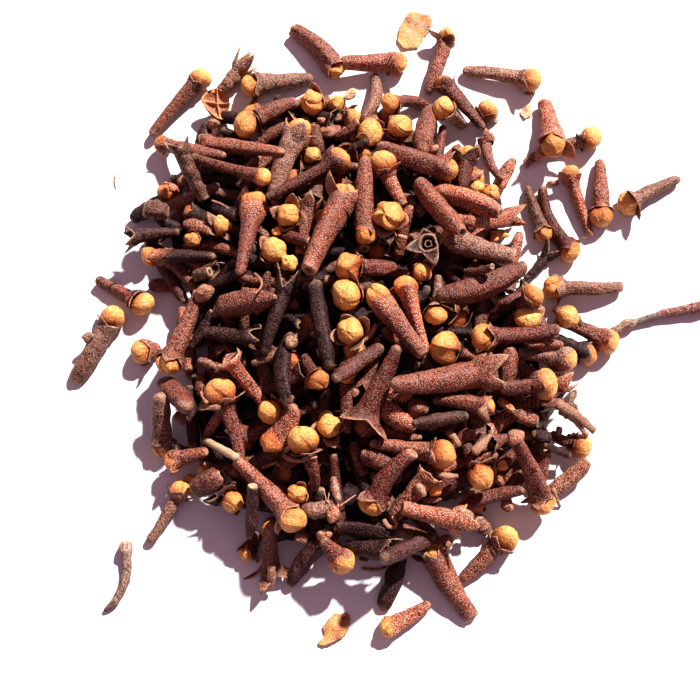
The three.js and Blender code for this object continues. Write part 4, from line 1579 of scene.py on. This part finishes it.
@dataclass
class Heap:
    """The heap: a small core, cloves dropped at random on it, and the cloves that show on top."""

    sight: Sight
    mound: Mound
    materials: Materials
    fill_tries: int = 30000
    fill_reach: float = 58.0
    fill_length: tuple[float, float] = (11.0, 15.5)
    fill_wide: tuple[float, float] = (13.0, 18.0)  # in pixels, as in Look
    fill_bud: tuple[float, float] = (9.5, 12.0)
    fill_tones: tuple[Tone, ...] = (_R, _R, _B, _D, _G, _K, _R, _D)
    bud_length: float = 7.5  # the shortest clove that has a calyx
    upright_length: float = 10.0

    def bare(self) -> tuple[Floats, Floats]:
        """Gives the bare patches of the table that show between the cloves, and their radii."""
        places = np.array([self.sight.point(pixel, 0.0)[:2] for pixel, _ in BARE_PATCHES])
        return places, np.array([size for _, size in BARE_PATCHES]) / PIXELS_PER_MM

    def fill(self, pile: Pile, pieces: dict[Part, Piece]) -> int:
        """Drops cloves at random until they would rise into the layers that show.

        Args:
            pile: What has been laid down.
            pieces: The pieces that take the cloves' parts.

        Returns:
            How many were laid.
        """
        rng = np.random.default_rng(FILL_SEED)
        gaps, sizes = self.bare()
        laid = 0
        for attempt in range(self.fill_tries):
            place = rng.uniform(-self.fill_reach, self.fill_reach, 2)
            heading = rng.uniform(0, 2 * math.pi)
            # Whole cloves first, then shorter and shorter bits in what gaps are left.
            length = rng.uniform(*self.fill_length) * (1 - 0.66 * attempt / self.fill_tries)
            way = np.array([math.cos(heading), math.sin(heading)])
            top = (Top.BUD, Top.OPEN, Top.WORN)[rng.choice(3, p=[0.5, 0.3, 0.2])]
            wide, bud = rng.uniform(*self.fill_wide), rng.uniform(*self.fill_bud)
            if length < self.bud_length:
                top = Top.WORN
            start = place - way * length / 2
            # Painted shade: where the heap stands higher, a clove lies further under the ones that show, and
            # its colour is darker.
            light = float(np.interp(self.mound.height(place[None, :])[0], [5.0, 11.0], [0.95, 0.7]))
            look = Look(wide, bud if top is Top.BUD else 0.0,
                        self.fill_tones[attempt % len(self.fill_tones)], top, light=light)
            clove = Clove(np.append(start, 2.0), np.append(start + way * length, 2.0), look,
                          INNER_SEED + attempt, PLAIN)
            shares, radii = clove.balls()
            spots = start + shares[:, None] * way * length
            ceiling = self.mound.ceiling(spots)
            apart = np.linalg.norm(spots[:, None] - gaps[None, :], axis=-1)
            if np.any(ceiling < 2 * radii) or np.any(apart < radii[:, None] + sizes[None, :]):
                continue
            low, high = resting_line(shares, pile.needed(spots, radii), BALANCE, length, 0.5)
            if np.any(low + (high - low) * shares + radii > ceiling):
                continue
            clove.tail[2], clove.head[2] = low, high
            self.lay(clove, pile, pieces)
            laid += 1
        return laid

    def lay(self, clove: Clove, pile: Pile, pieces: dict[Part, Piece]) -> None:
        """Lays a clove down where it is.

        Args:
            clove: The clove.
            pile: What has been laid down.
            pieces: The pieces that take the clove's parts.
        """
        pile.add_clove(clove)
        for part, patches in clove.patches().items():
            pieces[part].patches += patches

    def settled(self, seen: Seen, pile: Pile, seed: int) -> Clove:
        """Finds where a clove shows where it should and rests on what is under it.

        Args:
            seen: The clove.
            pile: What has been laid down.
            seed: What its own shape is drawn from.

        Returns:
            The clove in its place.
        """
        low, high = 4.0, 4.0
        for _ in range(SETTLING_ROUNDS + 1):
            tail, head = self.sight.point(seen.tail, low), self.sight.point(seen.head, high)
            clove = Clove(tail, head, seen, seed)
            shares, radii = clove.balls()
            need = pile.needed((tail + shares[:, None] * (head - tail))[:, :2], radii)
            across = float(np.linalg.norm((head - tail)[:2]))
            if seen.upright:
                high = float(need[-2:].max()) - 0.3 - seen.dip
                drop = math.sqrt(max(self.upright_length ** 2 - across ** 2, 4.0))
                low = max(high - drop, clove.radius * 0.7)
            else:
                low, high = resting_line(shares, need, BALANCE, across)
                low, high = low + seen.dip, high - seen.dip
        return clove

    def crumb(self, crumb: Crumb, pile: Pile, seed: int) -> Patch:
        """Lays a loose bit down.

        Args:
            crumb: The bit.
            pile: What has been laid down.
            seed: What its own shape is drawn from.

        Returns:
            Its patch.
        """
        radius = min(crumb.size) / 2 / PIXELS_PER_MM * 0.8
        height = 3.0
        for _ in range(SETTLING_ROUNDS):
            place = self.sight.point(crumb.at, height)
            height = float(pile.needed(place[None, :2], np.array([radius]))[0])
        place[2] = height
        pile.add(place[None, :], np.array([radius]))
        return crumb.patch(place, seed)

    def build(self, pile: Pile) -> None:
        """Builds the heap from the core up.

        Args:
            pile: What has been laid down.
        """
        Piece("heap_core", "clove", ("clove_heap",), self.mound.build()).build(self.materials)
        lower = {part: part.piece("heap_inner") for part in Part}
        log.info("%d cloves lie under the ones that show", self.fill(pile, lower))
        parts = {part: part.piece("heap") for part in Part}
        crumbs = Piece("heap_crumbs", "clove")
        things: list[Seen | Crumb] = [*SEEN_CLOVES, *CRUMBS]
        for seed, thing in sorted(enumerate(things, SEEN_SEED), key=lambda pair: pair[1].layer):
            if isinstance(thing, Crumb):
                crumbs.patches.append(self.crumb(thing, pile, seed))
            else:
                self.lay(self.settled(thing, pile, seed), pile, parts)
        log.info("the heap is %.1f mm high", (pile.centres[:, 2] + pile.radii).max())
        fibres = Piece("heap_fibres", "clove", (), [
            strand.patch(pile, self.sight, seed) for seed, strand in enumerate(STRANDS, STRAND_SEED)])
        straw = Piece("heap_straw", "husk", (), [STRAW.patch(pile, self.sight, STRAW_SEED)])
        for piece in (*lower.values(), *parts.values(), crumbs, fibres, straw):
            piece.build(self.materials)


@dataclass(frozen=True)
class Stalk:
    """A bare stalk that lies apart, as rings of corners along a path."""

    node: str  # the CAD node that it stands for
    path: tuple[tuple[float, float, float, float], ...]  # each point's x, y and height, and radius
    shades: tuple[tuple[float, str], ...]  # its colour at shares of its length
    sides: int = 14
    step: float = 0.3

    def build(self, materials: Materials) -> None:
        """Builds the stalk with ridges along it.

        Args:
            materials: The material for each kind of surface.
        """
        rng = np.random.default_rng(len(self.path) * 31)
        knots = np.array(self.path)
        legs = distances(knots[:, :3])
        along = np.linspace(0, legs[-1], int(legs[-1] / self.step))
        line = read_along(knots, legs, along, 3)
        angles = np.arange(self.sides) / self.sides * 2 * math.pi
        radius = line[:, 3:] * (1 + Ripple.seeded(rng, 0.07, 0.035).at(along / legs[-1] * 2, angles))
        rings, _ = tube(line[:, :3], radius, radius, angles)
        shape = lofted(rings, line[0, :3], line[-1, :3])
        places = np.array([share for share, _ in self.shades])
        shades = np.array([linear(shade) for _, shade in self.shades])
        tint = read_along(shades, places, along / legs[-1])
        tints = np.vstack([np.repeat(tint, self.sides, axis=0), tint[:1], tint[-1:]])
        grain = tube_grain(angles, np.ones(len(along)), along)
        patch = Patch(shape, grain, 0.0, tints, Finish.BARK)
        Piece(f"loose_{self.node}", "stalk", (self.node,), [patch]).build(materials)


@dataclass(frozen=True)
class Husk:
    """A dry scrap of husk that lies apart: a thin curled sheet with a ragged edge."""

    node: str  # the CAD node that it stands for
    edge: tuple[Pixel, ...]
    body: str
    spots: tuple[tuple[Pixel, float, str], ...] = ()  # other colours: middle, radius in pixels, shade
    arch: float = 0.8  # how far its middle stands over its edge, in millimetres
    thick: float = 0.14
    rest: float = 0.22  # how high its edge lies
    rings: int = 14
    around: int = 64

    def build(self, sight: Sight, materials: Materials) -> None:
        """Builds the scrap.

        Args:
            sight: The way from pixels to places.
            materials: The material for each kind of surface.
        """
        rng = np.random.default_rng(len(self.node))
        corners = np.array([sight.point(pixel, 0.4)[:2] for pixel in self.edge])
        closed = np.vstack([corners, corners[:1]])
        legs = distances(closed)
        line = read_along(closed, legs, np.linspace(0, legs[-1], self.around, endpoint=False))
        line += rng.normal(0, 0.06, line.shape)
        if np.sum(line[:, 0] * np.roll(line[:, 1], -1) - line[:, 1] * np.roll(line[:, 0], -1)) < 0:
            line = line[::-1]
        middle = line.mean(0)
        phases = rng.uniform(0, 6, 3)
        angles = np.arange(self.around) / self.around * 2 * math.pi
        tops, lows = [], []
        for share in np.linspace(1.0, 0.06, self.rings):
            flat = middle + (line - middle) * share
            fold = 0.12 * np.sin(1.5 * flat[:, 0] + phases[0]) * np.sin(1.2 * flat[:, 1] + phases[1])
            curl = 0.5 * self.arch * share ** 3 * np.sin(angles + phases[2]) ** 2
            height = self.rest + self.arch * (1 - share ** 2) * 0.6 + fold + curl
            tops.append(np.column_stack([flat, height + self.thick / 2]))
            lows.append(np.column_stack([flat, np.maximum(height - self.thick / 2, TABLE_GAP)]))
        lift = self.rest + self.arch * 0.6
        shape = lofted(np.array(lows[::-1] + tops), np.append(middle, lift - self.thick / 2),
                       np.append(middle, lift + self.thick / 2))
        points = shape[0]
        tints = linear(self.body)
        for pixel, size, shade in self.spots:
            away = np.linalg.norm(points[:, :2] - sight.point(pixel, 0.6)[:2], axis=1)
            share = np.exp(-(away / (size / PIXELS_PER_MM)) ** 2 * 1.2)[:, None]
            tints = tints * (1 - share) + linear(shade) * share
        patch = Patch(shape, points + 50.0, 0.0, tints, Finish.HUSK)
        Piece(f"loose_{self.node}", "husk", (self.node,), [patch]).build(materials)


@dataclass(frozen=True)
class CrossCap:
    """The open end of a bud that lies face up: four tan faces round a raised cross."""

    corners: tuple[Pixel, Pixel, Pixel, Pixel] = ((202, 102), (218, 92), (230, 104), (221, 120))
    floor: str = "#A05A34"
    ridge: str = "#DCA266"
    lip: str = "#C47C3C"
    # The darkest colour is painted shade in the wells between the ridges.
    well_shade: str = "#4E2014"
    cells: int = 28
    radius: float = 1.6  # of the ball that stands for it where it touches others
    thick: float = 1.6
    bulge: float = 0.3

    def build(self, sight: Sight, pile: Pile, materials: Materials) -> None:
        """Builds the cap as a thin four-sided dish and lays it on what is under it.

        Args:
            sight: The way from pixels to places.
            pile: What has been laid down.
            materials: The material for each kind of surface.
        """
        height = 3.0
        ball = np.array([self.radius])
        for _ in range(SETTLING_ROUNDS):
            places = np.array([sight.point(corner, height) for corner in self.corners])
            middle = places[:, :2].mean(0)
            height = float(pile.needed(middle[None, :], ball)[0])
        pile.add(np.append(middle, height)[None, :], ball)
        across, along = np.meshgrid(np.linspace(-1, 1, self.cells), np.linspace(-1, 1, self.cells))
        flat = sum(((1 + right * across) * (1 + back * along))[..., None] / 4 * corner
                   for (right, back), corner in zip(((-1, 1), (1, 1), (1, -1), (-1, -1)), places[:, :2]))
        # The sides between the corners bulge, so that the dish is rounder than its four corners.
        nearer, farther = np.sort(np.abs([across, along]), axis=0)
        flat = middle + (flat - middle) * (1 + self.bulge * (farther ** 2 - nearer ** 2))[..., None]
        # The ridges run corner to corner, so the cross stands upright in the dish.
        first, second = (across + along) / 2, (across - along) / 2
        ridge = np.maximum(np.exp(-(first / 0.06) ** 2), np.exp(-(second / 0.06) ** 2))
        rim = np.maximum(np.abs(across), np.abs(along)) ** 4
        dent = np.clip(6 * np.abs(first * second), 0, 1) * (1 - rim)
        rise = (height + 0.9 * rim + 0.5 * ridge * (1 - rim) - 0.5 * dent + (flat[..., 1] - middle[1]) / 5)
        tops = np.concatenate([flat, rise[..., None]], -1)
        lows = tops - [0, 0, self.thick]
        lows[..., :2] = middle + (lows[..., :2] - middle) * 0.6
        tints = linear(self.floor)
        # The rim and the ridges take their own colours, and the wells painted shade.
        for share, shade in ((rim, self.lip), (0.7 * dent * (1 - ridge), self.well_shade), (ridge, self.ridge)):
            tints = tints * (1 - share[..., None]) + linear(shade) * share[..., None]
        under = self.cells ** 2
        grid = np.arange(under).reshape(self.cells, self.cells)
        top = np.stack([grid[:-1, :-1], grid[:-1, 1:], grid[1:, 1:], grid[1:, :-1]], -1).reshape(-1, 4)
        edge = np.concatenate([grid[0, :-1], grid[:-1, -1], grid[-1, :0:-1], grid[:0:-1, 0]])
        over = np.roll(edge, -1)
        walls = np.stack([edge + under, over + under, over, edge], -1)
        points = np.concatenate([tops.reshape(-1, 3), lows.reshape(-1, 3)])
        shape = points, np.vstack([top, top[:, ::-1] + under, walls]), np.zeros((0, 3), np.int64)
        patch = Patch(shape, points, 0.0, np.vstack([tints.reshape(-1, 4)] * 2), Finish.CAP)
        Piece("heap_open_cap", "bud", (), [patch]).build(materials)


STALKS: tuple[Stalk, ...] = (
    Stalk("twig", ((77.6, 7.8, 1.3, 1.1), (73.4, 6.8, 1.3, 1.2), (68.6, 5.4, 1.3, 1.25),
                   (65.2, 4.8, 1.2, 1.05), (61.6, 4.2, 1.1, 0.95), (60.6, 3.8, 1.0, 0.65),
                   (60.2, 3.7, 1.0, 0.85), (57.1, 2.8, 1.0, 0.72), (56.1, 2.5, 1.0, 0.55),
                   (55.2, 2.2, 1.2, 1.25), (54.3, 1.9, 1.25, 1.3), (53.2, 1.4, 1.1, 0.85),
                   (51.3, 0.4, 1.1, 0.95), (50.1, -0.2, 1.1, 0.8)),
          ((0.0, "#8A5245"), (0.3, "#8C5044"), (0.58, "#96594A"), (0.61, "#75625F"),
           (0.76, "#85716B"), (0.8, "#A58A76"), (1.0, "#94735E"))),
    Stalk("stalk", ((-43.9, -40.9, 1.3, 0.8), (-43.8, -41.7, 1.35, 1.3), (-43.8, -42.6, 1.3, 1.3),
                    (-43.6, -43.7, 1.1, 0.95), (-43.4, -46.0, 0.95, 0.88),
                    (-43.6, -48.2, 0.9, 0.88), (-44.4, -50.3, 0.9, 0.88),
                    (-45.6, -52.5, 0.8, 0.8), (-46.7, -53.4, 0.6, 0.6), (-47.4, -53.9, 0.5, 0.35)),
          ((0.0, "#C0A69A"), (0.15, "#A88E80"), (0.28, "#82604F"), (0.85, "#866451"), (1.0, "#6A4B4C"))),
)
HUSKS: tuple[Husk, ...] = (
    Husk("flake_back", ((409, 12), (415, 12), (422, 14), (429, 15), (432, 20), (430, 31), (424, 37),
                        (421, 43), (418, 48), (403, 49), (397, 41), (399, 30), (402, 22)),
         "#CC9A4C", (((424, 19), 7, "#B8711C"), ((427, 28), 6, "#7E3410"), ((417, 24), 5, "#8E5530"),
                     ((409, 20), 5, "#8E5028"), ((412, 31), 5, "#C8A48A"), ((404, 42), 6, "#D8B460"),
                     ((406, 14), 4, "#DCBE7C")), 0.7),
    Husk("flake_front", ((318, 646), (318, 642), (324, 636), (323, 627), (328, 619), (335, 613),
                         (341, 614), (346, 612), (350, 617), (350, 624), (348, 631), (343, 637),
                         (333, 642), (323, 646)),
         "#CF8F4A", (((345, 619), 7, "#8E3416"), ((347, 627), 4, "#9A5228"), ((333, 622), 6, "#D2AC78"),
                     ((338, 629), 6, "#C87C28"), ((322, 642), 6, "#DEC890"), ((338, 637), 5, "#A0684C"),
                     ((328, 632), 5, "#CE9C54")), 1.3),
    Husk("scrap_right", ((520, 112), (523, 108), (527, 104), (529, 106), (530, 104), (532, 105),
                         (532, 115), (528, 117), (525, 119), (521, 115)),
         "#CDB494", (((525, 110), 3, "#A88458"), ((529, 108), 2.5, "#DDD0A4")), 0.4),
    Husk("scrap_back", ((344, 97), (347, 91), (353, 87), (358, 89), (357, 94), (350, 99)),
         "#CBAC88", (((351, 93), 2.5, "#98704A"),), 0.5),
)


@dataclass(frozen=True)
class Studio:
    """The table and the light: one soft key from the back right, and a low warm fill."""

    bearing: float = 34.0
    elevation: float = 42.0
    strength: float = 8.2
    softness: float = 3.0
    fill: str = "#967A8B"
    wall: str = "#F4F2F1"
    table: float = 12.0

    def build(self) -> None:
        """Makes the table, the key light and the surroundings."""
        half = self.table / 2
        mesh = bpy.data.meshes.new("table")
        mesh.from_pydata([(-half, -half, 0), (half, -half, 0), (half, half, 0), (-half, half, 0)],
                         [], [(0, 1, 2, 3)])
        table = bpy.data.objects.new("table", mesh)
        bpy.context.scene.collection.objects.link(table)
        mesh.materials.append(self.card())
        lamp = bpy.data.lights.new("key", "SUN")
        lamp.energy, lamp.angle = self.strength, math.radians(self.softness)
        key = bpy.data.objects.new("key", lamp)
        bearing, rise = math.radians(self.bearing), math.radians(self.elevation)
        way = Vector((-math.sin(bearing) * math.cos(rise), -math.cos(bearing) * math.cos(rise),
                      -math.sin(rise)))
        key.rotation_euler = way.to_track_quat("-Z", "Y").to_euler()
        bpy.context.scene.collection.objects.link(key)
        world = bpy.data.worlds.new("studio")
        bpy.context.scene.world = world
        node = adder(world)
        fill, wall = (node(Kind.GLOW, linear(shade), 1.0) for shade in (self.fill, self.wall))
        node(Kind.WORLD, node(Kind.EITHER, node(Kind.SEEN_DIRECTLY), fill, wall))

    def card(self) -> bpy.types.Material:
        """Makes the table's matt white card, with the faint unevenness of its pulp.

        Returns:
            The material.
        """
        made = bpy.data.materials.new("matt_white_card")
        node = adder(made)
        pulp = node(Kind.NOISE, node(Kind.PLACE), 60.0, 2.0)
        base = node(Kind.BLEND, pulp, linear("#DFDEDE"), linear("#E3E3E3"))
        node(Kind.OUTPUT, node(Kind.SURFACE, base, 0.9, 0.1))
        return made


def main() -> None:
    """Builds the heap, what lies round it, the table, the light and the camera."""
    logging.basicConfig(level=logging.INFO, format="%(name)s %(message)s")
    view = bpy.context.scene.view_settings
    view.view_transform, view.look = "Standard", "Medium High Contrast"
    sight = Sight()
    sight.build()
    materials = {finish: finish.value.material() for finish in Finish}
    mound = Mound(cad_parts["clove_heap"])
    pile = Pile(mound)
    LooseCloves(materials).build(pile)
    Heap(sight, mound, materials).build(pile)
    for stalk in STALKS:
        stalk.build(materials)
    for husk in HUSKS:
        husk.build(sight, materials)
    CrossCap().build(sight, pile, materials)
    Studio().build()


if __name__ == "__main__":
    main()
